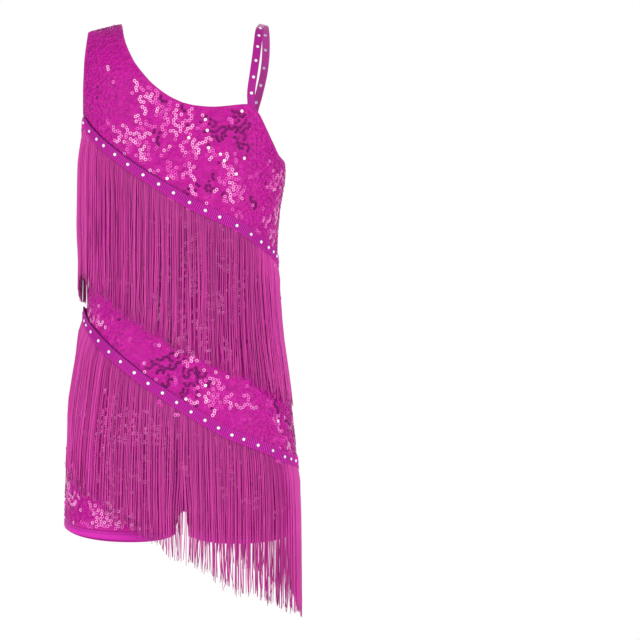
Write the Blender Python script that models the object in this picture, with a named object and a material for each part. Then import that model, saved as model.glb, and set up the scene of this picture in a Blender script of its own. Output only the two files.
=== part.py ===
"""A child's fringed Latin dance one-piece, hollow as worn, with one wide shoulder and one thin strap.

The front and the back are lofted over one set of body sections, which run into two short legs. Two
slanting tiers of fringe go all round. Lengths and tables are in millimetres in the wearer's frame,
from the top of the shoulders down: +x towards the wearer's left, -y to the front, +z up. The meshes
are made in metres. The whole garment hangs from the inside of its wide shoulder, which is the origin.
"""

import math

import bmesh
import bpy
import numpy as np
from mathutils import Vector

MM = 0.001

# Cloth and trim.
CLOTH_WALL = 1.5
LINING_WALL = 1.0
LAYER_GAP = 0.5
SEAM_GAP = 0.3
INSEAM_GAP = 0.7
INSEAM_REACH = 8.0
STRAP_WIDTH = 8.4
BACK_STRAP_WIDTH = 7.6
STRAP_THICK = 1.5
TAPE_WIDTH = 11.0
TAPE_THICK = 1.5
BINDING_TALL = 8.0
BINDING_THICK = 2.6
BINDING_SOFT_CORNER = 0.7

# Shoulders: an arch in side view over a top line that falls away outwards.
ARCH_FOOT = -60.0
ARCH_RISE = 87.0
NECK_END_X = 63.6
NECK_END_TOP = -0.5
SHOULDER_FALL = 0.25
HOLD_X = -79.0

# Legs.
LEG_START = -400.0
CROTCH = -490.0
LEG_FRONT = 64.0
LEG_BACK = 66.0
LEG_POWER = 2.2
LEG_PARTING = 5.5
HEM_OUTER = -505.0
HEM_INNER = -512.0
FRONT_DIP = 11.0
BACK_DIP = 17.0

# Fringe.
FRINGE_DROP = 152.0
STRAND_SHARE = 0.62
STRAND_STAND_OFF = 0.9
STRAND_THICK = 1.4
STRAND_SWING = 1.8
STRAND_LEVELS = 3
RAGGED = 4.0
RAGGED_RHYTHM = (2.4, 0.9)
SWAY = 0.05
SWAY_RHYTHM = 1.7
TIER_CLEARANCE = 13.0
UPPER_STRANDS = 92
LOWER_STRANDS = 100

PANEL_COLUMNS = 20
LEG_ARC_ROWS = 6
LEG_ROWS = 2
BINDING_STEPS = 36
STRAP_STEPS = 36
BACK_STRAP_STEPS = 48

# Steps for reading slopes of the body, and the end of a table's row at a side seam.
SHARE_STEP = 0.004
LEVEL_STEP = 0.5
FALL_STEPS = 9
SIDE = None

# Body sections: height, half width, middle, front depth, back depth, superellipse power.
SECTIONS = (
    (30.0, 103.0, 0.0, 62.0, 62.0, 3.0),
    (-57.0, 105.0, 0.0, 66.0, 66.0, 3.0),
    (-105.0, 101.0, 0.0, 71.0, 67.0, 2.6),
    (-148.0, 101.7, 0.0, 75.0, 68.0, 2.4),
    (-192.0, 95.6, 0.0, 73.0, 64.0, 2.3),
    (-235.0, 93.2, 0.0, 70.0, 62.0, 2.3),
    (-282.0, 96.4, -0.4, 72.0, 70.0, 2.3),
    (-310.0, 99.0, -0.8, 74.0, 75.0, 2.3),
    (-343.0, 104.0, -1.4, 77.0, 80.0, 2.3),
    (-382.0, 109.4, -1.8, 79.0, 84.0, 2.3),
    (-434.0, 115.0, -2.4, 81.0, 87.0, 2.3),
    (-501.0, 117.7, -2.2, 84.0, 88.0, 2.3),
    (-620.0, 118.0, -2.0, 84.0, 88.0, 2.3),
)

# Lines across the front: the armhole or side end (x, z), the neckline or side end (x, z), steps to the next.
FRONT_LINES = (
    (-95.2, -8.4, -64.0, -0.6, 3),
    (-97.3, -21.0, -61.0, -14.0, 2),
    (-99.5, -40.0, -52.4, -37.0, 2),
    (-100.3, -57.0, -36.0, -59.4, 2),
    (-100.8, -75.0, -11.6, -77.8, 1),
    (-101.0, -92.0, 8.9, -84.9, 1),
    (SIDE, -106.0, 30.0, -86.6, 1),
    (SIDE, -122.0, 61.9, -83.8, 1),
    (SIDE, -138.0, 73.0, -91.0, 2),
    (SIDE, -160.0, 88.0, -120.0, 1),
    (SIDE, -176.0, SIDE, -148.0, 2),
    (SIDE, -210.0, SIDE, -190.0, 2),
    (SIDE, -250.0, SIDE, -238.0, 1),
    (SIDE, -275.0, SIDE, -266.0, 2),
    (SIDE, -318.0, SIDE, -314.0, 2),
    (SIDE, -360.0, SIDE, -360.0, 1),
    (SIDE, LEG_START, SIDE, LEG_START, 0),
)
LINING_LAST_LINE = 13

# Lines across the back: the armhole or side end, the inner edge or cut-out end, steps to the next.
BACK_LINES = (
    (-95.2, -8.4, -65.8, -1.0, 3),
    (-97.3, -21.0, -65.6, -18.0, 2),
    (-99.0, -40.0, -65.3, -42.0, 2),
    (-99.9, -57.0, -63.6, -66.0, 2),
    (-100.4, -75.0, -60.0, -90.0, 2),
    (-100.9, -93.0, -54.0, -114.0, 1),
    (SIDE, -106.0, -48.0, -132.0, 1),
    (SIDE, -124.0, -45.3, -148.0, 1),
    (SIDE, -142.0, -43.0, -159.5, 1),
    (SIDE, -166.0, -30.0, -172.0, 1),
    (SIDE, -192.0, -8.0, -193.0, 1),
    (SIDE, -218.0, 20.0, -212.0, 1),
    (SIDE, -240.0, 50.0, -226.0, 1),
    (SIDE, -258.0, 78.0, -233.5, 1),
    (SIDE, -272.0, SIDE, -236.5, 2),
    (SIDE, -312.0, SIDE, -292.0, 2),
    (SIDE, -356.0, SIDE, -346.0, 2),
    (SIDE, LEG_START, SIDE, LEG_START, 0),
)

# Middle line of each fringe tape, from the right side over the front and back again: face, x, z.
UPPER_LINE = (
    ("front", SIDE, -117.0),
    ("front", -100.3, -100.5),
    ("front", -94.2, -109.6),
    ("front", -79.9, -124.3),
    ("front", -40.7, -153.5),
    ("front", 5.4, -181.5),
    ("front", 52.5, -203.9),
    ("front", 84.2, -225.8),
    ("left", SIDE, -240.0),
    ("back", 76.0, -240.7),
    ("back", 36.0, -228.6),
    ("back", -3.0, -205.0),
    ("back", -36.6, -173.5),
    ("back", -63.8, -157.0),
    ("back", -95.0, -140.4),
    ("right", SIDE, -117.0),
)
LOWER_LINE = (
    ("front", SIDE, -290.0),
    ("front", -92.8, -309.9),
    ("front", -74.8, -329.4),
    ("front", -35.6, -360.8),
    ("front", 6.7, -389.0),
    ("front", 47.5, -412.0),
    ("front", 88.2, -428.3),
    ("left", SIDE, -438.0),
    ("back", 87.8, -411.8),
    ("back", 46.1, -389.4),
    ("back", 4.3, -367.3),
    ("back", -36.3, -342.2),
    ("back", -73.3, -316.6),
    ("back", -94.6, -293.6),
    ("right", SIDE, -290.0),
)

# Thin strap, from the front corner over the shoulder to the back strap: face, x, z.
STRAP_LINE = (
    ("front", 67.4, -86.6),
    ("front", 67.1, -71.0),
    ("front", 69.2, -55.0),
    ("front", 71.6, -38.8),
    ("front", 73.6, -24.5),
    ("front", 76.2, -11.0),
    ("back", 80.2, -6.0),
    ("back", 82.0, -22.0),
    ("back", 80.4, -45.0),
    ("back", 75.6, -68.0),
    ("back", 71.5, -84.0),
    ("back", 70.4, -94.3),
)
STRAP_FOOT_EDGE = (11.1, -7.5)

# Back strap, from the wide shoulder's inner edge to the side, then down the side: face, x, z.
BACK_STRAP_LINE = (
    ("back", -46.4, -136.4),
    ("back", -16.0, -126.0),
    ("back", 18.0, -115.4),
    ("back", 46.0, -106.4),
    ("back", 62.0, -101.2),
    ("back", 69.6, -99.4),
    ("back", 75.0, -103.6),
    ("back", 84.0, -118.0),
    ("back", 93.4, -134.0),
)
# Its way down the left side: y, z.
BACK_STRAP_SIDE = (
    (22.0, -144.5),
    (11.0, -153.5),
    (5.2, -166.0),
    (4.05, -180.0),
    (4.05, -200.0),
    (4.05, -218.0),
    (4.05, -236.1),
)

PIECE_FINISH = {
    "sequin_cloth": ((0.58, 0.03, 0.35), 0.38),
    "plain_lining": ((0.36, 0.02, 0.20), 0.75),
    "satin_trim": ((0.62, 0.02, 0.38), 0.40),
    "fringe": ((0.52, 0.03, 0.28), 0.55),
}


def clear_scene():
    """Remove every object that the scene starts with."""
    for obj in list(bpy.data.objects):
        bpy.data.objects.remove(obj, do_unlink=True)


def finish(name):
    """The material of that name, made once."""
    material = bpy.data.materials.get(name)
    if material is None:
        colour, roughness = PIECE_FINISH[name]
        material = bpy.data.materials.new(name)
        material.use_nodes = True
        shader = material.node_tree.nodes["Principled BSDF"]
        shader.inputs["Base Color"].default_value = (*colour, 1.0)
        shader.inputs["Roughness"].default_value = roughness
        shader.inputs["Metallic"].default_value = 0.0
    return material


def monotone(keys, values, at):
    """Cubic through the keys that never runs past them, read at one place. Keys ascend."""
    index = int(np.clip(np.searchsorted(keys, at) - 1, 0, len(keys) - 2))
    steps = np.diff(keys)
    slopes = np.diff(values) / steps

    def tangent(k):
        if k in (0, len(keys) - 1):
            return slopes[min(k, len(slopes) - 1)]
        before, after = slopes[k - 1], slopes[k]
        return 0.0 if before * after <= 0 else 2 * before * after / (before + after)

    span = steps[index]
    part = (at - keys[index]) / span
    start, end = values[index], values[index + 1]
    rise = span * tangent(index), span * tangent(index + 1)
    return (
        start * (2 * part**3 - 3 * part**2 + 1)
        + rise[0] * (part**3 - 2 * part**2 + part)
        + end * (3 * part**2 - 2 * part**3)
        + rise[1] * (part**3 - part**2)
    )


SECTION_COLUMNS = np.array(SECTIONS[::-1]).T


def section(height):
    """Half width, middle, front depth, back depth and power of the body at that height."""
    return [monotone(SECTION_COLUMNS[0], column, height) for column in SECTION_COLUMNS[1:]]


def signed_power(value, power):
    """|value| to the power, with the value's sign."""
    return math.copysign(abs(value) ** power, value)


def arc_shares(half_width=100.0, depth=72.0, power=2.4, count=721):
    """Angles round half a mean section, and the share of its length up to each."""
    angles = np.linspace(0.0, math.pi, count)
    x = np.sign(np.cos(angles)) * np.abs(np.cos(angles)) ** (2 / power) * half_width
    y = np.abs(np.sin(angles)) ** (2 / power) * depth
    lengths = np.concatenate([[0.0], np.cumsum(np.hypot(np.diff(x), np.diff(y)))])
    return angles, lengths / lengths[-1]


ANGLES, SHARES = arc_shares()


def shoulder_top(x):
    """Height of the shoulder line at that distance from the middle."""
    return NECK_END_TOP - SHOULDER_FALL * (abs(x) - NECK_END_X)


def level_of(x, height):
    """Level of a point: its height, and over the shoulder the way along the arch."""
    if height <= ARCH_FOOT:
        return height
    rise = min(1.0, (height - ARCH_FOOT) / (shoulder_top(x) - ARCH_FOOT))
    return ARCH_FOOT + ARCH_RISE * math.asin(rise) / (math.pi / 2)


def share_of(x, level):
    """Share of the way across, 0 at the right side and 1 at the left side."""
    half_width, middle, _, _, power = section(min(level, 0.0))
    across = float(np.clip((middle - x) / half_width, -1.0, 1.0))
    angle = math.acos(signed_power(across, power / 2))
    return float(np.interp(angle, ANGLES, SHARES))


def plan_point(share, face, half_width, middle, depth, power):
    """Point of one section in plan, on the front (face -1) or the back (face +1)."""
    angle = float(np.interp(share, SHARES, ANGLES))
    x = middle - half_width * signed_power(math.cos(angle), 2 / power)
    return x, face * depth * abs(math.sin(angle)) ** (2 / power)


def torso_point(share, face, level):
    """Point on the body without its legs."""
    half_width, middle, front, back, power = section(min(level, 0.0))
    x, y = plan_point(share, face, half_width, middle, front if face < 0 else back, power)
    if level <= ARCH_FOOT:
        return np.array((x, y, level))
    turn = (level - ARCH_FOOT) / ARCH_RISE * math.pi / 2
    height = ARCH_FOOT + (shoulder_top(x) - ARCH_FOOT) * math.sin(turn)
    return np.array((x, y * math.cos(turn), height))


def leg_point(share, face, level, leg):
    """Point on a leg, right (leg -1) or left (leg +1), at the share of the way across the body."""
    half_width, middle = section(level)[:2]
    below = max(0.0, CROTCH - level) / (CROTCH - HEM_INNER)
    inner = leg * LEG_PARTING * math.sqrt(min(1.0, below))
    outer = middle + leg * half_width
    angle = 2 * math.pi * min(share, 1 - share)
    centre, reach = (outer + inner) / 2, (outer - inner) / 2
    x = centre + reach * signed_power(math.cos(angle), 2 / LEG_POWER)
    depth = LEG_FRONT if face < 0 else LEG_BACK
    return np.array((x, face * depth * abs(math.sin(angle)) ** (2 / LEG_POWER), level))


def cloth_point(share, face, level, leg=None):
    """Point on the cloth, which turns from the body into the legs between LEG_START and CROTCH."""
    if level >= LEG_START:
        return torso_point(share, face, level)
    if leg is None:
        leg = -1 if share < 0.5 else 1
    depth = min(1.0, (LEG_START - level) / (LEG_START - CROTCH))
    legs = 1 - math.sqrt(1 - depth**2)
    return (1 - legs) * torso_point(share, face, level) + legs * leg_point(share, face, level, leg)


def hem_height(share, face):
    """Height of the leg opening's lower edge."""
    way = 2 * min(share, 1 - share)
    dip = FRONT_DIP if face < 0 else BACK_DIP
    return HEM_OUTER + (HEM_INNER - HEM_OUTER) * way - dip * math.sin(math.pi * way)


def line_end(x, height, default_share):
    """Share and level of one end of a line across a panel."""
    if x is SIDE:
        return default_share, height
    level = level_of(x, height)
    return share_of(x, level), level


def panel_rows(lines):
    """Rows of (left share, left level, right share, right level) down to the legs."""
    ends = [line_end(*line[:2], 0.0) + line_end(*line[2:4], 1.0) for line in lines]
    places = np.arange(len(lines), dtype=float)
    columns = np.array(ends).T
    wanted = [k + step / line[4] for k, line in enumerate(lines[:-1]) for step in range(line[4])]
    wanted.append(places[-1])
    return [[monotone(places, column, at) for column in columns] for at in wanted]


def pull_to_seam(point, face):
    """The point moved off the plane of the side, shoulder and inside-leg seams."""
    gap = INSEAM_GAP if abs(point[0]) < INSEAM_REACH and point[2] < LEG_START else SEAM_GAP
    return np.array((point[0], face * max(face * point[1], gap / 2), point[2]))


def panel_grid(lines, face):
    """Points of a panel: a row for each line across, with the middle column twice for the legs' slit."""
    half = PANEL_COLUMNS // 2
    shares = [(j / PANEL_COLUMNS, -1) for j in range(half + 1)]
    shares += [(j / PANEL_COLUMNS, 1) for j in range(half, PANEL_COLUMNS + 1)]
    grid = []
    for left, left_level, right, right_level in panel_rows(lines):
        row = []
        for part, leg in shares:
            share = left + (right - left) * part
            level = left_level + (right_level - left_level) * part
            row.append(pull_to_seam(cloth_point(share, face, level, leg), face))
        grid.append(row)
    for step in range(1, LEG_ARC_ROWS + 1):
        level = LEG_START + (CROTCH - LEG_START) * math.sin(math.pi / 2 * step / LEG_ARC_ROWS)
        grid.append([pull_to_seam(cloth_point(part, face, level, leg), face) for part, leg in shares])
    for step in range(1, LEG_ROWS + 1):
        row = []
        for part, leg in shares:
            edge = hem_height(part, face) + BINDING_TALL + SEAM_GAP
            level = CROTCH + (edge - CROTCH) * step / LEG_ROWS
            row.append(pull_to_seam(cloth_point(part, face, level, leg), face))
        grid.append(row)
    return grid


def add_object(name, mesh_data, finish_name, frame):
    """Object made from a bmesh, hung on the garment's frame."""
    mesh = bpy.data.meshes.new(name)
    mesh_data.to_mesh(mesh)
    mesh_data.free()
    mesh.materials.append(finish(finish_name))
    obj = bpy.data.objects.new(name, mesh)
    obj.parent = frame
    bpy.context.scene.collection.objects.link(obj)
    return obj


def sheet(grid, face):
    """Open sheet of triangles over a panel's grid, split down the middle only below the crotch."""
    mesh_data = bmesh.new()
    rows = [[mesh_data.verts.new(Vector(point) * MM) for point in row] for row in grid]
    slit = PANEL_COLUMNS // 2
    for upper, lower in zip(rows, rows[1:]):
        for j in range(len(upper) - 1):
            if j == slit:
                continue
            corners = [upper[j], lower[j], lower[j + 1], upper[j + 1]]
            mesh_data.faces.new(corners if face < 0 else corners[::-1])
    bmesh.ops.remove_doubles(mesh_data, verts=mesh_data.verts, dist=0.001 * MM)
    bmesh.ops.triangulate(mesh_data, faces=mesh_data.faces, quad_method="FIXED")
    mesh_data.normal_update()
    return mesh_data


def walled(mesh_data, thickness, face):
    """Give the sheet its wall, inwards from its outer face and never past the seams' plane."""
    outer_faces = list(mesh_data.faces)
    open_edges = [edge for edge in mesh_data.edges if len(edge.link_faces) == 1]
    inner = {}
    for vert in list(mesh_data.verts):
        place = vert.co - vert.normal * thickness * MM
        place.y = face * max(face * place.y, SEAM_GAP / 2 * MM)
        inner[vert] = mesh_data.verts.new(place)
    for flat in outer_faces:
        mesh_data.faces.new([inner[vert] for vert in reversed(flat.verts)])
    for edge in open_edges:
        start, end = edge.verts
        mesh_data.faces.new([start, end, inner[end], inner[start]])
    bmesh.ops.recalc_face_normals(mesh_data, faces=mesh_data.faces)
    return mesh_data


def build_panels(frame):
    """The sequinned front and back."""
    for name, lines, face in (("front_panel", FRONT_LINES, -1), ("back_panel", BACK_LINES, 1)):
        panel = walled(sheet(panel_grid(lines, face), face), CLOTH_WALL, face)
        add_object(name, panel, "sequin_cloth", frame)


def build_lining(frame):
    """The plain lining behind the front, down to just past the back's cut-out."""
    rows = sum(line[4] for line in FRONT_LINES[:LINING_LAST_LINE]) + 1
    mesh_data = sheet(panel_grid(FRONT_LINES, -1)[:rows], -1)
    inwards = (CLOTH_WALL + LAYER_GAP) * MM
    places = [vert.co - vert.normal * inwards for vert in mesh_data.verts]
    for vert, place in zip(mesh_data.verts, places):
        vert.co = place
        vert.co.y = min(vert.co.y, -SEAM_GAP / 2 * MM)
    mesh_data.normal_update()
    add_object("front_lining", walled(mesh_data, LINING_WALL, -1), "plain_lining", frame)


def surface_normal(share, face, level):
    """Outward normal of the body without its legs."""
    level = min(level, ARCH_FOOT + ARCH_RISE - 2 * LEVEL_STEP)
    share = float(np.clip(share, SHARE_STEP, 1 - SHARE_STEP))
    across = torso_point(share + SHARE_STEP, face, level) - torso_point(share - SHARE_STEP, face, level)
    down = torso_point(share, face, level - LEVEL_STEP) - torso_point(share, face, level + LEVEL_STEP)
    normal = np.cross(down, across) * -face
    return normal / np.linalg.norm(normal)


def spline(points, count):
    """Points read evenly from a Catmull-Rom curve through the given ones."""
    points = np.array(points)
    padded = np.vstack([2 * points[0] - points[1], points, 2 * points[-1] - points[-2]])
    lengths = np.concatenate([[0.0], np.cumsum(np.linalg.norm(np.diff(points[:, :3], axis=0), axis=1))])
    found = []
    for wanted in np.linspace(0.0, lengths[-1], count):
        k = int(np.clip(np.searchsorted(lengths, wanted) - 1, 0, len(points) - 2))
        t = (wanted - lengths[k]) / (lengths[k + 1] - lengths[k])
        a, b, c, d = padded[k : k + 4]
        found.append(
            0.5 * (2 * b + (c - a) * t + (2 * a - 5 * b + 4 * c - d) * t**2 + (3 * b - a - 3 * c + d) * t**3)
        )
    return np.array(found)


def ribbon_frames(keys, count):
    """Frames (centre, across, out) along a band that lies on the body, from points and normals."""
    read = spline([np.concatenate(key) for key in keys], count)
    centres = read[:, :3]
    frames = []
    for centre, out, along in zip(centres, read[:, 3:], np.gradient(centres, axis=0)):
        across = np.cross(along, out)
        across /= np.linalg.norm(across)
        out = np.cross(across, along)
        frames.append((centre, across, out / np.linalg.norm(out)))
    return frames


def sweep(frames, profile, closed):
    """Closed body of one profile (across, out) carried along the frames."""
    mesh_data = bmesh.new()
    loops = []
    for centre, across, out in frames:
        places = [centre + across * side + out * lift for side, lift in profile]
        loops.append([mesh_data.verts.new(Vector(place) * MM) for place in places])
    pairs = list(zip(loops, loops[1:])) + ([(loops[-1], loops[0])] if closed else [])
    for first, second in pairs:
        for k in range(len(profile)):
            after = (k + 1) % len(profile)
            mesh_data.faces.new([first[k], first[after], second[after], second[k]])
    if not closed:
        mesh_data.faces.new(loops[0])
        mesh_data.faces.new(loops[-1])
    bmesh.ops.recalc_face_normals(mesh_data, faces=mesh_data.faces)
    return mesh_data


def band_profile(width, thick):
    """Flat band whose outer face is on the body's surface."""
    half = width / 2
    return ((-half, -thick), (half, -thick), (half, 0.0), (-half, 0.0))


def on_body(face_name, x, height):
    """Point and outward normal of the body at a place on its front or back."""
    face = -1 if face_name == "front" else 1
    level = level_of(x, height)
    share = share_of(x, level)
    return torso_point(share, face, level), surface_normal(share, face, level)


def build_straps(frame):
    """The thin shoulder strap, and the band across the back and down the left side."""
    frames = ribbon_frames([on_body(*row) for row in STRAP_LINE], STRAP_STEPS)
    centre, across, out = frames[0]
    slope = np.array((STRAP_FOOT_EDGE[0], 0.0, STRAP_FOOT_EDGE[1]))
    slope -= out * slope.dot(out)
    slope /= slope.dot(across)
    frames[0] = (centre, slope, out)
    profile = band_profile(STRAP_WIDTH, STRAP_THICK)
    add_object("shoulder_strap", sweep(frames, profile, False), "satin_trim", frame)

    keys = [on_body(*row) for row in BACK_STRAP_LINE]
    for y, height in BACK_STRAP_SIDE:
        half_width, middle, _, depth, power = section(height)
        x = middle + half_width * (1 - (y / depth) ** power) ** (1 / power)
        keys.append(on_body("back", x, height))
    profile = band_profile(BACK_STRAP_WIDTH, STRAP_THICK)
    frames = ribbon_frames(keys, BACK_STRAP_STEPS)
    add_object("back_strap", sweep(frames, profile, False), "satin_trim", frame)


def build_leg_bindings(frame):
    """The satin binding round each leg opening."""
    half_tall, half_thick = BINDING_TALL / 2, BINDING_THICK / 2
    soft = BINDING_SOFT_CORNER
    profile = (
        (-half_tall, 0.0),
        (-half_tall + soft, half_thick),
        (half_tall - soft, half_thick),
        (half_tall, 0.0),
        (half_tall - soft, -half_thick),
        (-half_tall + soft, -half_thick),
    )
    for name, leg in (("leg_binding_right", -1), ("leg_binding_left", 1)):
        ring = []
        for step in range(BINDING_STEPS):
            way = 2 * step / BINDING_STEPS
            face, way = (-1, way) if way <= 1 else (1, 2 - way)
            share = way / 2 if leg < 0 else 1 - way / 2
            ring.append(cloth_point(share, face, hem_height(share, face) + half_tall, leg))
        ring = np.array(ring)
        along = np.roll(ring, -1, axis=0) - np.roll(ring, 1, axis=0)
        inside = ring.mean(axis=0)
        frames = []
        for centre, direction in zip(ring, along):
            out = np.array((direction[1], -direction[0], 0.0))
            out *= math.copysign(1.0, out.dot(centre - inside)) / np.linalg.norm(out)
            frames.append((centre - out * CLOTH_WALL / 2, np.array((0.0, 0.0, 1.0)), out))
        add_object(name, sweep(frames, profile, True), "satin_trim", frame)


def tape_keys(line):
    """Way round the body, from 0 to 2, and height of each point of a tape's middle line."""
    ways, heights = [], []
    for face_name, x, height in line:
        if x is SIDE:
            way = {"front": 0.0, "left": 1.0, "right": 2.0}[face_name]
        else:
            share = share_of(x, height)
            way = share if face_name == "front" else 2 - share
        ways.append(way)
        heights.append(height)
    return np.array(ways), np.array(heights)


def hanging_point(way, level, root_level, out):
    """Point of the curtain that falls from root_level: no nearer than the widest body above it."""
    share, face = (way, -1) if way <= 1 else (2 - way, 1)
    levels = np.linspace(root_level, level, FALL_STEPS)
    middle, power = section(level)[1], section(level)[4]
    widest = max(section(at)[0] for at in levels)
    deepest = max(section(at)[2 if face < 0 else 3] for at in levels)
    x, y = plan_point(share, face, widest, middle, deepest, power)
    before = plan_point(max(0.0, share - SHARE_STEP), face, widest, middle, deepest, power)
    after = plan_point(min(1.0, share + SHARE_STEP), face, widest, middle, deepest, power)
    normal = np.array((after[1] - before[1], before[0] - after[0])) * -face
    normal *= -1.0 if normal.dot((x - middle, y)) < 0 else 1.0
    normal /= np.linalg.norm(normal)
    return np.array((x + normal[0] * out, y + normal[1] * out, level))


def build_fringe(name, line, strands, frame, below=None):
    """One tier: a tape ring round the body with its strands growing from the lower edge.

    The strands end clear of the tape below, where there is one.
    """
    ways, heights = tape_keys(line)
    stop = tape_keys(below) if below else None
    mesh_data = bmesh.new()

    def corner(way, height, root, out):
        return mesh_data.verts.new(Vector(hanging_point(way % 2.0, height, root, out)) * MM)

    def edge_ring(way):
        middle = monotone(ways, heights, way % 2.0)
        ahead = (way + SHARE_STEP) % 2.0
        behind = (way - SHARE_STEP) % 2.0
        run = np.linalg.norm(
            (hanging_point(ahead, middle, middle, 0.0) - hanging_point(behind, middle, middle, 0.0))[:2]
        )
        fall = monotone(ways, heights, ahead) - monotone(ways, heights, behind)
        half = TAPE_WIDTH / 2 * math.hypot(1.0, fall / run)
        outer = LAYER_GAP + TAPE_THICK
        return {
            "way": way,
            "middle": middle,
            "outer_top": corner(way, middle + half, middle + half, outer),
            "outer_low": corner(way, middle - half, middle + half, outer),
            "inner_low": corner(way, middle - half, middle + half, LAYER_GAP),
            "inner_top": corner(way, middle + half, middle + half, LAYER_GAP),
        }

    pitch = 2.0 / strands
    rings = []
    for k in range(strands):
        rings.append(edge_ring((k + 0.5 - STRAND_SHARE / 2) * pitch))
        rings.append(edge_ring((k + 0.5 + STRAND_SHARE / 2) * pitch))
    for k, ring in enumerate(rings):
        after = rings[(k + 1) % len(rings)]
        for one, two in (("outer_top", "outer_low"), ("inner_low", "inner_top"), ("inner_top", "outer_top")):
            mesh_data.faces.new([ring[one], ring[two], after[two], after[one]])
        if k % 2:
            low_edges = [("outer_low", ring), ("inner_low", ring), ("inner_low", after), ("outer_low", after)]
            mesh_data.faces.new([edge[key] for key, edge in low_edges])
            continue
        loop = [ring["outer_low"], after["outer_low"], after["inner_low"], ring["inner_low"]]
        number = k // 2
        tip = ring["middle"] - FRINGE_DROP
        tip += RAGGED * math.sin(number * RAGGED_RHYTHM[0]) * math.cos(number * RAGGED_RHYTHM[1])
        if stop:
            tip = max(tip, monotone(*stop, ring["way"]) + TIER_CLEARANCE)
        root = min(vert.co.z for vert in loop) / MM
        for level in range(1, STRAND_LEVELS + 1):
            height = root + (tip - root) * level / STRAND_LEVELS
            sway = SWAY * pitch * math.sin(number * SWAY_RHYTHM + level)
            ends = ring["way"] + sway, after["way"] + sway
            near = STRAND_STAND_OFF + STRAND_SWING * level / STRAND_LEVELS
            far = near + STRAND_THICK
            lower = [
                corner(ends[0], height, root, far),
                corner(ends[1], height, root, far),
                corner(ends[1], height, root, near),
                corner(ends[0], height, root, near),
            ]
            for side in range(4):
                turn = (side + 1) % 4
                mesh_data.faces.new([loop[side], loop[turn], lower[turn], lower[side]])
            loop = lower
        mesh_data.faces.new(loop)
    bmesh.ops.recalc_face_normals(mesh_data, faces=mesh_data.faces)
    add_object(name, mesh_data, "fringe", frame)


def build():
    """The whole garment."""
    clear_scene()
    frame = bpy.data.objects.new("garment_frame", None)
    frame.location = Vector((-HOLD_X, 0.0, -(shoulder_top(HOLD_X) - CLOTH_WALL))) * MM
    bpy.context.scene.collection.objects.link(frame)
    build_panels(frame)
    build_lining(frame)
    build_straps(frame)
    build_leg_bindings(frame)
    build_fringe("fringe_upper", UPPER_LINE, UPPER_STRANDS, frame, below=LOWER_LINE)
    build_fringe("fringe_lower", LOWER_LINE, LOWER_STRANDS, frame)


build()
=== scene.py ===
"""Looks of the latin dance dress: sequinned panels, ribbed tapes, chainette fringe, satin and stones.

Lengths are millimetres in the wearer's frame, from the top of the shoulders down: +x towards the wearer's
left, -y to the front, +z up. Every mesh is moved into the part's own frame, in metres, as it is made.
"""

import logging
import math
from collections.abc import Callable, Sequence
from dataclasses import dataclass
from enum import Enum
from functools import cached_property

import bmesh
import bpy
import numpy as np
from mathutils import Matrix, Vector


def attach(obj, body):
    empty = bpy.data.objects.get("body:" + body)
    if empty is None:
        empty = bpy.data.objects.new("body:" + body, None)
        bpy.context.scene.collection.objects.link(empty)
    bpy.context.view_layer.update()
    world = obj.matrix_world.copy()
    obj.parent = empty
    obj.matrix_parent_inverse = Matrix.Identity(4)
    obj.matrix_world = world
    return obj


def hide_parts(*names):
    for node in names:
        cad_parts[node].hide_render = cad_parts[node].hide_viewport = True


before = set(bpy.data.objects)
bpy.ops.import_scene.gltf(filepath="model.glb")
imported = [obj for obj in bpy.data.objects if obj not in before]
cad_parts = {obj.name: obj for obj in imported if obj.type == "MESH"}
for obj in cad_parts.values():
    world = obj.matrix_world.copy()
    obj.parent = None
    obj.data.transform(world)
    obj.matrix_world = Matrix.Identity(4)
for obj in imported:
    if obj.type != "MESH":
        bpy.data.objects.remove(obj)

Array = np.ndarray
Draws = np.random.Generator
Piece = bpy.types.Object
Material = bpy.types.Material
Socket = bpy.types.NodeSocket
Colour = tuple[float, float, float]
Place = tuple[float, float, float]
Table = tuple[tuple[float, ...], ...]
Keys = tuple[tuple[str, float | None, float], ...]
Cuts = tuple[tuple[float | None, float, float | None, float, int], ...]
# Points and faces by size, without and with the places on the cloth.
Model = tuple[Array, list[Array]]
Surface = tuple[Array, list[Array], Array]

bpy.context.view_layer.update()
LOG = logging.getLogger("dance_dress")

MM = 0.001
# From the wearer's frame to the part's, whose origin is where the shoulder is held.
TO_PART = np.array((79.0, 0.0, 5.85))
# Stands for the body's side line in place of a distance from the middle.
SIDE = None
BODY = "root"
SEAM_GAP = 0.1
BINDING_TALL = 8.0
# Share of the way across over which slopes are read.
STEP = 0.004
TINY = 1e-12


class Face(Enum):
    """Which side of the wearer a piece lies on."""

    FRONT = -1
    BACK = 1


class Slot(Enum):
    """Material slots of the record."""

    SEQUIN = "sequin_cloth"
    LINING = "plain_lining"
    SATIN = "satin_trim"
    FRINGE = "fringe"
    STONE = "rhinestone"


def signed_power(value: Array, power: Array | float) -> Array:
    """|value| to the power, with the value's sign."""
    return np.sign(value) * np.abs(value) ** power


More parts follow.
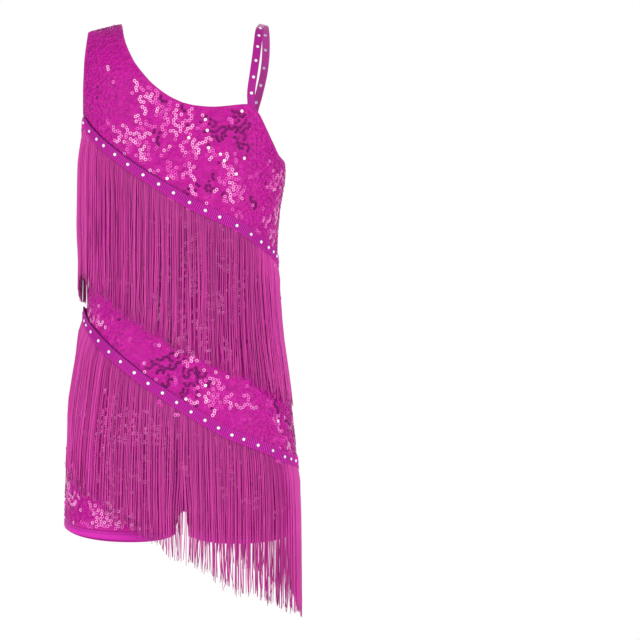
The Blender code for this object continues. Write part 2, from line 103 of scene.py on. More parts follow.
def monotone(keys: Sequence[float], values: Sequence[float], at: Array | float) -> Array:
    """Cubic through the keys that never runs past them.

    Args:
        keys: Ascending places.
        values: Value at each key.
        at: Where it is read.

    Returns:
        The values there.
    """
    keys, values, at = np.asarray(keys, float), np.asarray(values, float), np.asarray(at, float)
    slopes = np.diff(values) / np.diff(keys)
    before, after = slopes[:-1], slopes[1:]
    product = before * after
    total = np.where(product > 0, before + after, 1.0)
    tangents = np.concatenate([slopes[:1], np.where(product > 0, 2 * product / total, 0.0), slopes[-1:]])
    index = np.clip(np.searchsorted(keys, at) - 1, 0, len(keys) - 2)
    span = np.diff(keys)[index]
    t = (at - keys[index]) / span
    return (
        values[index] * (2 * t**3 - 3 * t**2 + 1)
        + span * tangents[index] * (t**3 - 2 * t**2 + t)
        + values[index + 1] * (3 * t**2 - 2 * t**3)
        + span * tangents[index + 1] * (t**3 - t**2)
    )


def smooth_step(value: Array | float, low: float, high: float) -> Array:
    """0 below low, 1 above high, and an eased rise between."""
    t = np.clip((np.asarray(value, float) - low) / (high - low), 0.0, 1.0)
    return t * t * (3 - 2 * t)


def unit(vectors: Array) -> Array:
    """The vectors at length 1."""
    return vectors / np.maximum(np.linalg.norm(vectors, axis=-1, keepdims=True), TINY)


def side_of(share: Array) -> Array:
    """Which leg a share of the way across lies on: -1 the right one, +1 the left one."""
    return np.where(share < 0.5, -1.0, 1.0)


def length_along(points: Array) -> Array:
    """Length along a row of points up to each."""
    return np.concatenate([[0.0], np.cumsum(np.linalg.norm(np.diff(points, axis=0), axis=1))])


def read_along(run: Array, lengths: Array, wanted: Array) -> Array:
    """Rows of a run, read at the wanted lengths along it."""
    return np.stack([np.interp(wanted, lengths, column) for column in run.T], -1)


@dataclass(frozen=True)
class WornForm:
    """The filled-out form that all the cloth lies on, from the same sections as the solids."""

    arch_foot: float = -60.0
    arch_rise: float = 87.0
    neck_end_x: float = 63.6
    neck_end_top: float = -0.5
    shoulder_fall: float = 0.25
    leg_start: float = -400.0
    crotch: float = -490.0
    leg_front: float = 64.0
    leg_back: float = 66.0
    leg_power: float = 2.2
    leg_parting: float = 7.0
    parting_ease: float = 0.35
    leg_middle: float = -1.5
    hem_outer: float = -505.0
    hem_inner: float = -512.0
    front_dips: tuple[float, float] = (8.2, 12.1)
    back_dip: float = 15.4
    mean_half: tuple[float, float] = (100.0, 72.0)
    mean_power: float = 2.4
    fall_steps: int = 9
    # Height, half width, middle, front depth, back depth, superellipse power.
    sections: Table = (
        (30, 103, 0, 62, 62, 3), (-57, 105, 0, 66, 66, 3), (-105, 101, 0, 71, 67, 2.6),
        (-148, 101.7, 0, 75, 68, 2.4), (-192, 95.6, 0, 73, 64, 2.3), (-235, 93.2, 0, 70, 62, 2.3),
        (-282, 96.4, -0.4, 72, 70, 2.3), (-310, 99, -0.8, 74, 75, 2.3), (-343, 104, -1.4, 77, 80, 2.3),
        (-382, 109.4, -1.8, 79, 84, 2.3), (-434, 115, -2.4, 81, 87, 2.3), (-501, 117.7, -2.2, 84, 88, 2.3),
        (-620, 118, -2, 84, 88, 2.3),
    )

    @cached_property
    def columns(self) -> Array:
        """Every section value at each millimetre of height, heights first.

        Returns:
            Heights, half widths, middles, front and back depths and powers, a row each.
        """
        rows = np.array(self.sections[::-1]).T
        heights = np.arange(-640.0, 31.0)
        return np.vstack([heights] + [monotone(rows[0], row, heights) for row in rows[1:]])

    @cached_property
    def arc(self) -> tuple[Array, Array]:
        """Angles round half a mean section, and the share of its length up to each.

        Returns:
            Angles, and shares from 0 to 1.
        """
        angles = np.linspace(0.0, math.pi, 721)
        wide, deep = self.mean_half
        x = signed_power(np.cos(angles), 2 / self.mean_power) * wide
        y = np.abs(np.sin(angles)) ** (2 / self.mean_power) * deep
        lengths = np.concatenate([[0.0], np.cumsum(np.hypot(np.diff(x), np.diff(y)))])
        return angles, lengths / lengths[-1]

    def section(self, height: Array) -> list[Array]:
        """Half width, middle, front depth, back depth and power at those heights."""
        return [np.interp(height, self.columns[0], column) for column in self.columns[1:]]

    def shoulder_top(self, x: Array) -> Array:
        """Height of the shoulder line at that distance from the middle."""
        return self.neck_end_top - self.shoulder_fall * (np.abs(x) - self.neck_end_x)

    def level_of(self, x: float, height: float) -> float:
        """Level of a point: its height, and over the shoulder the way along the arch.

        Args:
            x: Distance from the middle.
            height: Its height.

        Returns:
            The level.
        """
        if height <= self.arch_foot:
            return height
        rise = min(1.0, (height - self.arch_foot) / (float(self.shoulder_top(x)) - self.arch_foot))
        return self.arch_foot + self.arch_rise * math.asin(rise) / (math.pi / 2)

    def share_of(self, x: Array, level: Array) -> Array:
        """Share of the way across, 0 at the right side and 1 at the left side.

        Args:
            x: Distance from the middle.
            level: Level of the points.

        Returns:
            Shares of the cloth's width.
        """
        half_width, middle, _, _, power = self.section(np.minimum(level, 0.0))
        across = np.clip((middle - x) / half_width, -1.0, 1.0)
        angles, shares = self.arc
        return np.interp(np.arccos(signed_power(across, power / 2)), angles, shares)

    def plan(
        self, share: Array, face: Array, wide: Array, middle: Array, deep: Array, power: Array
    ) -> Array:
        """Points of sections in plan, x and y last.

        Args:
            share: Share of the way across.
            face: -1 in front, 1 behind.
            wide: Half width.
            middle: Distance of the middle from x = 0.
            deep: Depth.
            power: Roundness.

        Returns:
            The points.
        """
        angles, shares = self.arc
        angle = np.interp(share, shares, angles)
        x = middle - wide * signed_power(np.cos(angle), 2 / power)
        return np.stack(np.broadcast_arrays(x, face * deep * np.abs(np.sin(angle)) ** (2 / power)), -1)

    def torso(self, share: Array, face: int, level: Array) -> Array:
        """Points on the body without its legs.

        Args:
            share: Share of the way across.
            face: -1 in front, 1 behind.
            level: Level of the points.

        Returns:
            The points, x, y and z last.
        """
        share, level = np.broadcast_arrays(np.asarray(share, float), np.asarray(level, float))
        wide, middle, front, back, power = self.section(np.minimum(level, 0.0))
        flat = self.plan(share, face, wide, middle, front if face < 0 else back, power)
        turn = np.clip((level - self.arch_foot) / self.arch_rise, 0.0, 1.0) * math.pi / 2
        top = self.arch_foot + (self.shoulder_top(flat[..., 0]) - self.arch_foot) * np.sin(turn)
        height = np.where(level > self.arch_foot, top, level)
        return np.stack([flat[..., 0], flat[..., 1] * np.cos(turn), height], -1)

    def leg(self, share: Array, face: int, level: Array, side: Array) -> Array:
        """Points on a leg, right (side -1) or left (side +1).

        Args:
            share: Share of the way across.
            face: -1 in front, 1 behind.
            level: Height of the points.
            side: Which leg.

        Returns:
            The points, x, y and z last.
        """
        wide, middle = self.section(level)[:2]
        below = np.maximum(0.0, self.crotch - level) / (self.crotch - self.hem_inner)
        apart = self.leg_parting * np.minimum(1.0, below) ** self.parting_ease
        inner = self.leg_middle * np.minimum(1.0, 3 * below) + side * apart
        outer = middle + side * wide
        angle = 2 * math.pi * np.minimum(share, 1 - share)
        x = (outer + inner) / 2 + (outer - inner) / 2 * signed_power(np.cos(angle), 2 / self.leg_power)
        deep = self.leg_front if face < 0 else self.leg_back
        y = face * deep * np.abs(np.sin(angle)) ** (2 / self.leg_power)
        return np.stack(np.broadcast_arrays(x, y, level), -1)

    def cloth(self, share: Array, face: int, level: Array, side: Array | None = None) -> Array:
        """Points on the cloth, which turns from the body into the legs.

        Args:
            share: Share of the way across.
            face: -1 in front, 1 behind.
            level: Level of the points.
            side: Which leg, or None for the nearer one.

        Returns:
            The points, x, y and z last.
        """
        share, level = np.broadcast_arrays(np.asarray(share, float), np.asarray(level, float))
        side = side_of(share) if side is None else side
        depth = np.clip((self.leg_start - level) / (self.leg_start - self.crotch), 0.0, 1.0)
        legs = (1 - np.sqrt(1 - depth**2))[..., None]
        return (1 - legs) * self.torso(share, face, level) + legs * self.leg(share, face, level, side)

    def normal(self, share: Array, face: int, level: Array, side: Array | None = None) -> Array:
        """Outward normals of the cloth.

        Args:
            share: Share of the way across.
            face: -1 in front, 1 behind.
            level: Level of the points.
            side: Which leg, or None for the nearer one.

        Returns:
            Vectors of length 1.
        """
        share, level = np.broadcast_arrays(np.asarray(share, float), np.asarray(level, float))
        side = side_of(share) if side is None else side
        share = np.clip(share, STEP, 1 - STEP)
        level = np.minimum(level, self.arch_foot + self.arch_rise - 1.0)
        ahead, behind = (self.cloth(share + step, face, level, side) for step in (STEP / 2, -STEP / 2))
        down = self.cloth(share, face, level - 0.5, side) - self.cloth(share, face, level + 0.5, side)
        return unit(np.cross(down, ahead - behind) * -face)

    def hem(self, share: Array, face: int) -> Array:
        """Height of the leg opening's lower edge.

        Args:
            share: Share of the way across.
            face: -1 in front, 1 behind.

        Returns:
            The heights.
        """
        way = 2 * np.minimum(share, 1 - share)
        dip = np.where(np.asarray(share) < 0.5, *self.front_dips) if face < 0 else self.back_dip
        return self.hem_outer + (self.hem_inner - self.hem_outer) * way - dip * np.sin(math.pi * way)

    @cached_property
    def girths(self) -> tuple[Array, Array]:
        """Levels, and the length once across the front or back at each.

        Returns:
            Levels and lengths.
        """
        levels = np.arange(-560.0, 31.0, 5.0)
        shares = np.linspace(0.0, 1.0, 81)
        points = self.torso(shares[None, :], -1, np.minimum(levels, 0.0)[:, None])
        flat = np.linalg.norm(np.diff(points[..., :2], axis=1), axis=-1).sum(axis=1)
        arched = levels > self.arch_foot
        flat[arched] = flat[np.searchsorted(levels, self.arch_foot)]
        return levels, flat

    def girth(self, level: Array) -> Array:
        """Length once across the front or back at a level."""
        return np.interp(level, *self.girths)

    def curtain(self, way: Array, level: Array, root: Array, out: Array) -> Array:
        """Points of a curtain that falls from root: no nearer than the widest body above them.

        Args:
            way: Way round the body, 0 to 1 over the front and 1 to 2 back over the back.
            level: Height of each point.
            root: Height that its thread falls from.
            out: How far it stands off.

        Returns:
            The points, x, y and z last.
        """
        given = (np.asarray(value, float) for value in (way, level, root, out))
        way, level, root, out = np.broadcast_arrays(*given)
        way = way % 2.0
        front = way <= 1.0
        share = np.where(front, way, 2 - way)
        face = np.where(front, -1.0, 1.0)
        middle, power = self.section(level)[1], self.section(level)[4]
        falls = [self.section(root + (level - root) * t) for t in np.linspace(0.0, 1.0, self.fall_steps)]
        wide = np.max([fall[0] for fall in falls], axis=0)
        deep = np.where(front, *(np.max([fall[side] for fall in falls], axis=0) for side in (2, 3)))
        flat = self.plan(share, face, wide, middle, deep, power)
        before = self.plan(np.maximum(0.0, share - STEP), face, wide, middle, deep, power)
        after = self.plan(np.minimum(1.0, share + STEP), face, wide, middle, deep, power)
        along = after - before
        normal = unit(np.stack([along[..., 1], -along[..., 0]], -1) * -face[..., None])
        outward = normal[..., 0] * (flat[..., 0] - middle) + normal[..., 1] * flat[..., 1]
        normal = normal * np.where(outward < 0, -1.0, 1.0)[..., None]
        flat = flat + normal * out[..., None]
        return np.stack([flat[..., 0], flat[..., 1], level], -1)


FORM = WornForm()


@dataclass(frozen=True)
class Creases:
    """Main creases of the cloth, each listed: from x, z to x, z, reach, height."""

    front: Table = (
        (-93, -80, -52, -104, 5.5, 0.55), (-97, -58, -70, -84, 4.2, 0.4), (-66, -14, -88, -46, 6, 0.45),
        (63, -92, 86, -132, 5, 0.55), (95, -147, 52, -166, 6.5, 0.5), (93, -176, 64, -187, 4, -0.4),
        (-34, -72, 22, -98, 7.5, 0.38), (-88, -283, -44, -306, 5, 0.5), (101, -392, 58, -378, 6, 0.5),
        (104, -421, 78, -404, 4.5, -0.35), (-108, -452, -66, -440, 6, 0.6),
        (-112, -489, -70, -470, 4.8, 0.55), (-4, -478, -37, -442, 5.5, 0.6), (4, -480, 33, -449, 6.5, 0.6),
        (-2, -462, -22, -418, 4, -0.4), (112, -468, 72, -456, 5, 0.5),
    )
    back: Table = (
        (-97, -62, -70, -92, 5, 0.45), (-98, -110, -58, -128, 6, 0.5), (-70, -20, -92, -44, 4.5, 0.4),
        (-92, -236, -40, -247, 6.5, 0.6), (-94, -258, -58, -270, 4.5, 0.45),
        (90, -262, 46, -274, 5.5, 0.55), (92, -300, 58, -288, 4, -0.4), (-6, -300, -3, -352, 8, -0.45),
        (-5, -482, -40, -446, 6, 0.6), (5, -482, 42, -452, 5, 0.6), (-110, -470, -62, -486, 5.5, 0.5),
        (112, -484, 70, -474, 6.5, 0.6), (-2, -440, 14, -404, 4.5, 0.4),
    )
    bow: float = 0.07
    taper: float = 0.8

    def lift(self, face: int, x: Array, z: Array) -> Array:
        """How far the creases lift the cloth at places of one face.

        Args:
            face: -1 in front, 1 behind.
            x: Distances from the middle.
            z: Heights.

        Returns:
            Millimetres outwards.
        """
        total = np.zeros(np.shape(x))
        for x0, z0, x1, z1, reach, height in self.front if face < 0 else self.back:
            length = math.hypot(x1 - x0, z1 - z0)
            t = ((x - x0) * (x1 - x0) + (z - z0) * (z1 - z0)) / length**2
            off = ((x - x0) * (z1 - z0) - (z - z0) * (x1 - x0)) / length
            off = off - self.bow * length * np.sin(math.pi * np.clip(t, 0, 1))
            faded = np.sin(math.pi * np.clip(t, 0.0, 1.0)) ** self.taper
            total += height * faded * np.exp(-2 * (off / reach) ** 2)
        return total


CREASES = Creases()

UPPER_LINE = (
    ("front", SIDE, -117), ("front", -100.3, -100.5), ("front", -94.2, -109.6), ("front", -79.9, -124.3),
    ("front", -40.7, -153.5), ("front", 5.4, -181.5), ("front", 52.5, -203.9), ("front", 84.2, -225.8),
    ("left", SIDE, -240), ("back", 76, -240.7), ("back", 36, -228.6), ("back", -3, -205),
    ("back", -36.6, -173.5), ("back", -63.8, -157), ("back", -95, -140.4), ("right", SIDE, -117),
)
LOWER_LINE = (
    ("front", SIDE, -290), ("front", -92.8, -309.9), ("front", -74.8, -329.4), ("front", -35.6, -360.8),
    ("front", 6.7, -389), ("front", 47.5, -412), ("front", 88.2, -428.3), ("front", 100.4, -434.6),
    ("left", SIDE, -441), ("back", 87.8, -411.8), ("back", 46.1, -389.4), ("back", 4.3, -367.3),
    ("back", -36.3, -342.2), ("back", -73.3, -316.6), ("back", -94.6, -293.6), ("right", SIDE, -290),
)


@dataclass(frozen=True)
class TapeLine:
    """Middle line of a fringe tape round the body, as (way round, height) keys."""

    points: Keys
    width: float = 11.0
    gap: float = 0.5
    thick: float = 1.5
    flare: float = 0.0
    flare_reach: float = 0.05

    @cached_property
    def keys(self) -> tuple[Array, Array]:
        """Way round the body of each point, and its height.

        Returns:
            Ways and heights.
        """
        ways, heights = [], []
        for name, x, height in self.points:
            if x is SIDE:
                ways.append({"front": 0.0, "left": 1.0, "right": 2.0}[name])
            else:
                face = -1 if name == "front" else 1
                lean = float(FORM.normal(float(FORM.share_of(x, height)), face, height)[0])
                share = float(FORM.share_of(x - (self.gap + self.thick) * lean, height))
                ways.append(share if name == "front" else 2 - share)
            heights.append(height)
        return np.array(ways), np.array(heights)

    def middle(self, way: Array) -> Array:
        """Height of the middle line."""
        return monotone(*self.keys, np.asarray(way, float) % 2.0)

    def slope(self, way: Array) -> Array:
        """Rise of the middle line for each millimetre round the body.

        Args:
            way: Way round the body.

        Returns:
            The rise.
        """
        middle = self.middle(way)
        ahead, behind = way + STEP, way - STEP
        run = FORM.curtain(ahead, middle, middle, 0.0) - FORM.curtain(behind, middle, middle, 0.0)
        return (self.middle(ahead) - self.middle(behind)) / np.linalg.norm(run[..., :2], axis=-1)

    def flared(self, way: Array) -> Array:
        """How far the tape stands out at the right side, where its two ends meet."""
        beside = np.minimum(way % 2.0, 2.0 - way % 2.0)
        return self.flare * np.exp(-((beside / self.flare_reach) ** 2))

    def half(self, way: Array) -> Array:
        """Half of the tape's height as it slants."""
        return self.width / 2 * np.hypot(1.0, self.slope(way))

    def place(self, way: Array, across: Array | float, out: Array | float) -> Array:
        """Points at a share of the tape's half height (across, -1 to 1), out from its inner face."""
        middle, half = self.middle(way), self.half(way)
        return FORM.curtain(way, middle + across * half, middle + half, self.gap + self.flared(way) + out)

    def face(self, way: Array, across: Array | float, lift: float) -> tuple[Array, Array]:
        """Places lifted off the tape's outer face, and the ways out there."""
        places = self.place(way, across, self.thick + lift)
        return places, self.place(way, across, self.thick + lift + 1.0) - places

    @cached_property
    def run(self) -> tuple[Array, Array]:
        """Ways round the body, and the length along the tape up to each.

        Returns:
            Ways and lengths.
        """
        ways = np.linspace(0.0, 2.0, 1601)
        return ways, length_along(self.place(ways, 0.0, self.thick))

    def way_at(self, length: Array) -> Array:
        """Way round the body at a length along the tape."""
        ways, lengths = self.run
        return np.interp(length, lengths, ways)


UPPER = TapeLine(UPPER_LINE)
LOWER = TapeLine(LOWER_LINE, flare=2.2)


def grid_quads(rows: int, cols: int, wrap_rows: bool = False, wrap_cols: bool = False) -> Array:
    """Corners of the quads of a grid of points, row by row.

    Args:
        rows: Rows of points.
        cols: Points in a row.
        wrap_rows: Whether the last row joins the first.
        wrap_cols: Whether each row closes on itself.

    Returns:
        Four numbers a quad.
    """
    i = np.arange(rows if wrap_rows else rows - 1)[:, None]
    j = np.arange(cols if wrap_cols else cols - 1)[None, :]
    below, beside = (i + 1) % rows, (j + 1) % cols
    quads = np.stack([i * cols + j, below * cols + j, below * cols + beside, i * cols + beside], -1)
    return quads.reshape(-1, 4)


def add_mesh(
    name: str,
    points: Array,
    faces: Sequence[Array],
    finishes: Sequence[Material],
    uv: Array | None = None,
    tone: Array | None = None,
    finish_of: Array | None = None,
    smooth: bool = True,
    face_out: bool = True,
) -> Piece:
    """Object made from points and faces.

    Args:
        name: Name of the piece.
        points: Places in the wearer's frame, in millimetres.
        faces: Corner numbers, one array for each count of corners.
        finishes: Its materials.
        uv: Place on the cloth of each point, in metres.
        tone: A shade number for each point, which the finishes read.
        finish_of: Number of the material of each face.
        smooth: Whether faces are shaded smooth.
        face_out: Whether normals are worked out again.

    Returns:
        The object.
    """
    mesh = bpy.data.meshes.new(name)
    corners = np.concatenate([block.ravel() for block in faces]).astype(np.int32)
    sizes = np.concatenate([np.full(len(block), block.shape[1]) for block in faces])
    mesh.vertices.add(len(points))
    mesh.vertices.foreach_set("co", ((points + TO_PART) * MM).astype(np.float32).ravel())
    mesh.loops.add(len(corners))
    mesh.loops.foreach_set("vertex_index", corners)
    mesh.polygons.add(len(sizes))
    mesh.polygons.foreach_set("loop_start", (np.cumsum(sizes) - sizes).astype(np.int32))
    mesh.polygons.foreach_set("use_smooth", np.full(len(sizes), smooth))
    if finish_of is not None:
        mesh.polygons.foreach_set("material_index", finish_of.astype(np.int32))
    for material in finishes:
        mesh.materials.append(material)
    if uv is not None:
        layer = mesh.uv_layers.new(name="cloth")
        layer.data.foreach_set("uv", uv[corners].astype(np.float32).ravel())
    if tone is not None:
        mesh.attributes.new("tone", "FLOAT", "POINT").data.foreach_set("value", tone.astype(np.float32))
    mesh.update(calc_edges=True)
    if face_out:
        work = bmesh.new()
        work.from_mesh(mesh)
        bmesh.ops.recalc_face_normals(work, faces=work.faces)
        work.to_mesh(mesh)
        work.free()
    obj = bpy.data.objects.new(name, mesh)
    bpy.context.scene.collection.objects.link(obj)
    return obj


def settle(obj: Piece, slot: Slot, *nodes: str) -> Piece:
    """Ride the piece on the garment and hide the CAD nodes that it stands for.

    Args:
        obj: The piece.
        slot: Its slot; not used.
        *nodes: CAD nodes that it replaces.

    Returns:
        The same piece.
    """
    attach(obj, BODY)
    if nodes:
        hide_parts(*nodes)
    count = sum(len(polygon.vertices) - 2 for polygon in obj.data.polygons)
    LOG.info("%s: %d triangles", obj.name, count)
    return obj


def spline(points: Array, count: int) -> Array:
    """Points read evenly from a Catmull-Rom curve through the given ones.

    Args:
        points: Points to pass through, a row each.
        count: How many to read.

    Returns:
        The points read.
    """
    points = np.asarray(points, float)
    padded = np.vstack([2 * points[0] - points[1], points, 2 * points[-1] - points[-2]])
    lengths = length_along(points[:, :3])
    wanted = np.linspace(0.0, lengths[-1], count)
    k = np.clip(np.searchsorted(lengths, wanted) - 1, 0, len(points) - 2)
    t = ((wanted - lengths[k]) / (lengths[k + 1] - lengths[k]))[:, None]
    a, b, c, d = padded[k], padded[k + 1], padded[k + 2], padded[k + 3]
    return 0.5 * (2 * b + (c - a) * t + (2 * a - 5 * b + 4 * c - d) * t**2 + (3 * b - a - 3 * c + d) * t**3)


@dataclass
class Ribbon:
    """A run of frames along a band: centre, across and out at each step."""

    centre: Array
    across: Array
    out: Array

    @classmethod
    def on_body(cls, keys: Keys, count: int, extra: Array | None = None) -> "Ribbon":
        """Frames of a band that lies on the body through places of its front and back.

        Args:
            keys: Side, distance from the middle and height of each place.
            count: How many frames.
            extra: More places, as points and normals.

        Returns:
            The ribbon.
        """
        found = []
        for name, x, height in keys:
            face = -1 if name == "front" else 1
            level = FORM.level_of(x, height)
            share = FORM.share_of(x, level)
            found.append(np.concatenate([FORM.torso(share, face, level), FORM.normal(share, face, level)]))
        if extra is not None:
            found.extend(extra)
        read = spline(np.array(found), count)
        centre, out = read[:, :3], read[:, 3:]
        across = unit(np.cross(np.gradient(centre, axis=0), out))
        return cls(centre, across, unit(np.cross(across, np.gradient(centre, axis=0))))

    def sweep(self, profile: Array, closed: bool) -> Surface:
        """Points, faces and cloth places of a closed profile (across, out) carried along the frames.

        Args:
            profile: Points across and out.
            closed: Whether the last frame joins the first.

        Returns:
            Points, faces and places on the cloth.
        """
        side, lift = profile[:, 0][None, :, None], profile[:, 1][None, :, None]
        points = self.centre[:, None] + self.across[:, None] * side + self.out[:, None] * lift
        rows, cols = points.shape[:2]
        faces = [grid_quads(rows, cols, wrap_rows=closed, wrap_cols=True)]
        if not closed:
            ends = np.arange(cols)
            faces.append(np.stack([ends, (rows - 1) * cols + ends[::-1]]))
        along = np.repeat(length_along(self.centre), cols)
        round_profile = np.tile(length_along(profile), rows)
        return points.reshape(-1, 3), faces, np.stack([along, round_profile], -1) * MM


def band_profile(width: float, thick: float, crown: float, steps: int = 7) -> Array:
    """Soft flat band: outer face on 0 with a low crown, rounded sides, inner face at -thick.

    Args:
        width: Its width.
        thick: Its thickness.
        crown: Height of the crown.
        steps: Points to each side.

    Returns:
        Points across and out.
    """
    turn = np.linspace(-math.pi / 2, math.pi / 2, steps)
    round_end = np.stack([np.cos(turn) * thick * 0.5, np.sin(turn) * thick * 0.5 - thick * 0.5], -1)
    right = round_end + (width / 2 - thick * 0.5, 0.0)
    left = round_end[::-1] * (-1.0, 1.0) - (width / 2 - thick * 0.5, 0.0)
    across = np.linspace(width / 2 - thick * 0.5, -width / 2 + thick * 0.5, steps + 2)[1:-1]
    top = np.stack([across, crown * np.cos(math.pi * across / width)], -1)
    bottom = np.stack([across[::-1], np.full(steps, -thick)], -1)
    return np.vstack([right, top, left, bottom])


def tube(points: Array, radius: float, sides: int, up: Array) -> Surface:
    """Points, faces and cloth places of a round cord along a row of points.

    Args:
        points: Points of its middle.
        radius: Its radius.
        sides: Corners round it.
        up: A way that it never runs in.

    Returns:
        Points, faces and places on the cloth.
    """
    along = unit(np.gradient(points, axis=0))
    across = unit(np.cross(along, up))
    turn = np.arange(sides) * 2 * math.pi / sides
    profile = np.stack([np.cos(turn), np.sin(turn)], -1) * radius
    return Ribbon(points, across, unit(np.cross(across, along))).sweep(profile, False)


def gather(parts: Sequence[Surface]) -> Surface:
    """Several meshes as one, each with points, faces and cloth places.

    Args:
        parts: The meshes.

    Returns:
        All of them in one.
    """
    points, faces, places, start = [], [], [], 0
    for part_points, part_faces, part_places in parts:
        points.append(part_points)
        places.append(part_places)
        faces.extend(block + start for block in part_faces)
        start += len(part_points)
    return np.vstack(points), faces, np.vstack(places)


@dataclass(frozen=True)
class Paint:
    """A finish, whose material's nodes are added one at a time."""

    name: str = ""

    @cached_property
    def material(self) -> Material:
        """The material.

        Returns:
            A new one, with its shader.
        """
        material = bpy.data.materials.new(self.name)
        material.use_nodes = True
        return material

    @property
    def tree(self) -> bpy.types.NodeTree:
        """The material's node tree."""
        return self.material.node_tree

    @property
    def shader(self) -> bpy.types.Node:
        """The node that all the others lead to."""
        return self.tree.nodes["Principled BSDF"]

    def lay(self) -> None:
        """Add the finish's nodes."""

    def make(self) -> Material:
        """The material, with all its nodes."""
        self.lay()
        return self.material

    def add(self, kind: str, inputs: dict[str, object] | None = None, **settings: object) -> bpy.types.Node:
        """Add a node.

        Args:
            kind: Its type, without ShaderNode in front.
            inputs: Number, colour or another node's output for each of its sockets.
            **settings: Its own properties.

        Returns:
            The node.
        """
        node = self.tree.nodes.new("ShaderNode" + kind)
        for key, value in settings.items():
            setattr(node, key, value)
        for key, value in (inputs or {}).items():
            self.put(node.inputs[key], value)
        return node

    def put(self, socket: Socket, value: object) -> None:
        """Link or set one socket.

        Args:
            socket: The socket.
            value: Another socket, a number or a colour.
        """
        if isinstance(value, Socket):
            self.tree.links.new(value, socket)
        elif isinstance(value, tuple) and len(value) == 3 and socket.type == "RGBA":
            socket.default_value = (*value, 1.0)
        else:
            socket.default_value = value

    def dress(self, **sockets: object) -> "Paint":
        """Set the shader's sockets, named with _ for each space.

        Args:
            **sockets: Value of each.

        Returns:
            Itself.
        """
        for key, value in sockets.items():
            self.put(self.shader.inputs[key.replace("_", " ")], value)
        return self

    def places(self, of_cloth: bool = True) -> Socket:
        """Places on the cloth, or in the object."""
        return self.add("TexCoord").outputs["UV" if of_cloth else "Object"]

    def noise(self, where: Socket, scale: float, detail: float = 2.0) -> Socket:
        """A soft noise from 0 to 1."""
        return self.add("TexNoise", {"Vector": where, "Scale": scale, "Detail": detail}).outputs["Fac"]

    def wave(self, where: Socket, scale: float, direction: str = "X", bend: float = 0.0) -> Socket:
        """Bands across one direction."""
        inputs = {"Vector": where, "Scale": scale, "Distortion": bend}
        return self.add("TexWave", inputs, bands_direction=direction).outputs["Fac"]

    def ramp(self, by: Socket, *stops: tuple[float, Colour]) -> Socket:
        """A colour from a number, through stops of place and colour.

        Args:
            by: The number.
            *stops: Place and colour of each stop.

        Returns:
            The colour.
        """
        node = self.add("ValToRGB", {"Fac": by})
        band = node.color_ramp
        while len(band.elements) < len(stops):
            band.elements.new(0.5)
        for element, (place, colour) in zip(band.elements, stops):
            element.position = place
            element.color = (*colour, 1.0)
        return node.outputs["Color"]

    def scaled(self, value: Socket, low: float, high: float) -> Socket:
        """A number from 0 to 1, moved between low and high."""
        return self.add("MapRange", {"Value": value, "To Min": low, "To Max": high}).outputs["Result"]

    def mixed(self, a: object, b: object, by: object = 0.5) -> Socket:
        """Two colours mixed.

        Args:
            a: First colour.
            b: Second colour.
            by: Share of the second.

        Returns:
            The mixture.
        """
        node = self.add("Mix", data_type="RGBA")
        for socket, value in zip((node.inputs[0], node.inputs[6], node.inputs[7]), (by, a, b)):
            self.put(socket, value)
        return node.outputs[2]

    def sum(self, *values: Socket) -> Socket:
        """Numbers added together.

        Args:
            *values: The numbers.

        Returns:
            Their sum.
        """
        total = values[0]
        for value in values[1:]:
            node = self.add("Math", operation="ADD")
            self.put(node.inputs[0], total)
            self.put(node.inputs[1], value)
            total = node.outputs[0]
        return total

    def relief(self, height: Socket, depth: float, strength: float = 1.0) -> None:
        """Raise the surface by a height, depth metres deep."""
        node = self.add("Bump", {"Height": height, "Distance": depth, "Strength": strength})
        self.put(self.shader.inputs["Normal"], node.outputs["Normal"])

    def tone(self) -> Socket:
        """The shade number stored on the piece, which carries painted shade and glints as well as the
        piece's own tone.
        """
        return self.add("Attribute", attribute_name="tone").outputs["Fac"]


@dataclass(frozen=True)
class GroundCloth(Paint):
    """Fine stretch net that carries the sequins."""

    name: str = "sequin_ground"
    light: Colour = (0.71, 0.006, 0.40)
    dark: Colour = (0.34, 0.002, 0.19)
    net: float = 900.0
    patch: float = 160.0

    def lay(self) -> None:
        """Add the finish's nodes."""
        where = self.places()
        cells = self.add("TexVoronoi", {"Vector": where, "Scale": self.net}).outputs["Distance"]
        patch = self.noise(where, self.patch, 3.0)
        shade = self.sum(self.scaled(cells, 0.0, 0.5), self.scaled(patch, -0.25, 0.45))
        colour = self.ramp(shade, (0.1, self.dark), (0.75, self.light))
        self.dress(Base_Color=colour, Roughness=0.55, Specular_IOR_Level=0.25)
        self.dress(Sheen_Weight=0.1, Sheen_Roughness=0.4)
        self.relief(cells, 0.0003, 0.6)


@dataclass(frozen=True)
class SequinFoil(Paint):
    """Glossy cupped sequins, coloured by their tone from a painted dark reflection through their own pink to
    painted glints.
    """

    name: str = "sequin_foil"
    painted_dark_reflection: Colour = (0.12, 0.0, 0.085)
    deep: Colour = (0.44, 0.003, 0.275)
    pink: Colour = (0.75, 0.006, 0.43)
    painted_soft_glint: Colour = (1.0, 0.30, 0.75)
    painted_glint: Colour = (1.0, 0.88, 0.97)
    grain: float = 420.0

    def lay(self) -> None:
        """Add the finish's nodes."""
        grain = self.noise(self.places(False), self.grain)
        level = self.sum(self.tone(), self.scaled(grain, -0.10, 0.10))
        # Ramp stops: a painted dark reflection, the sequins' own deep and pink, then a soft painted glint
        # and a full painted glint.
        shades = (self.painted_dark_reflection, self.deep, self.pink, self.painted_soft_glint, self.painted_glint)
        colour = self.ramp(level, *zip((0.0, 0.3, 0.55, 0.76, 1.0), shades))
        self.dress(Base_Color=colour, Metallic=0.0, Roughness=self.scaled(grain, 0.36, 0.48))
        self.dress(Specular_IOR_Level=0.12, Coat_Weight=0.03, Coat_Roughness=0.22)


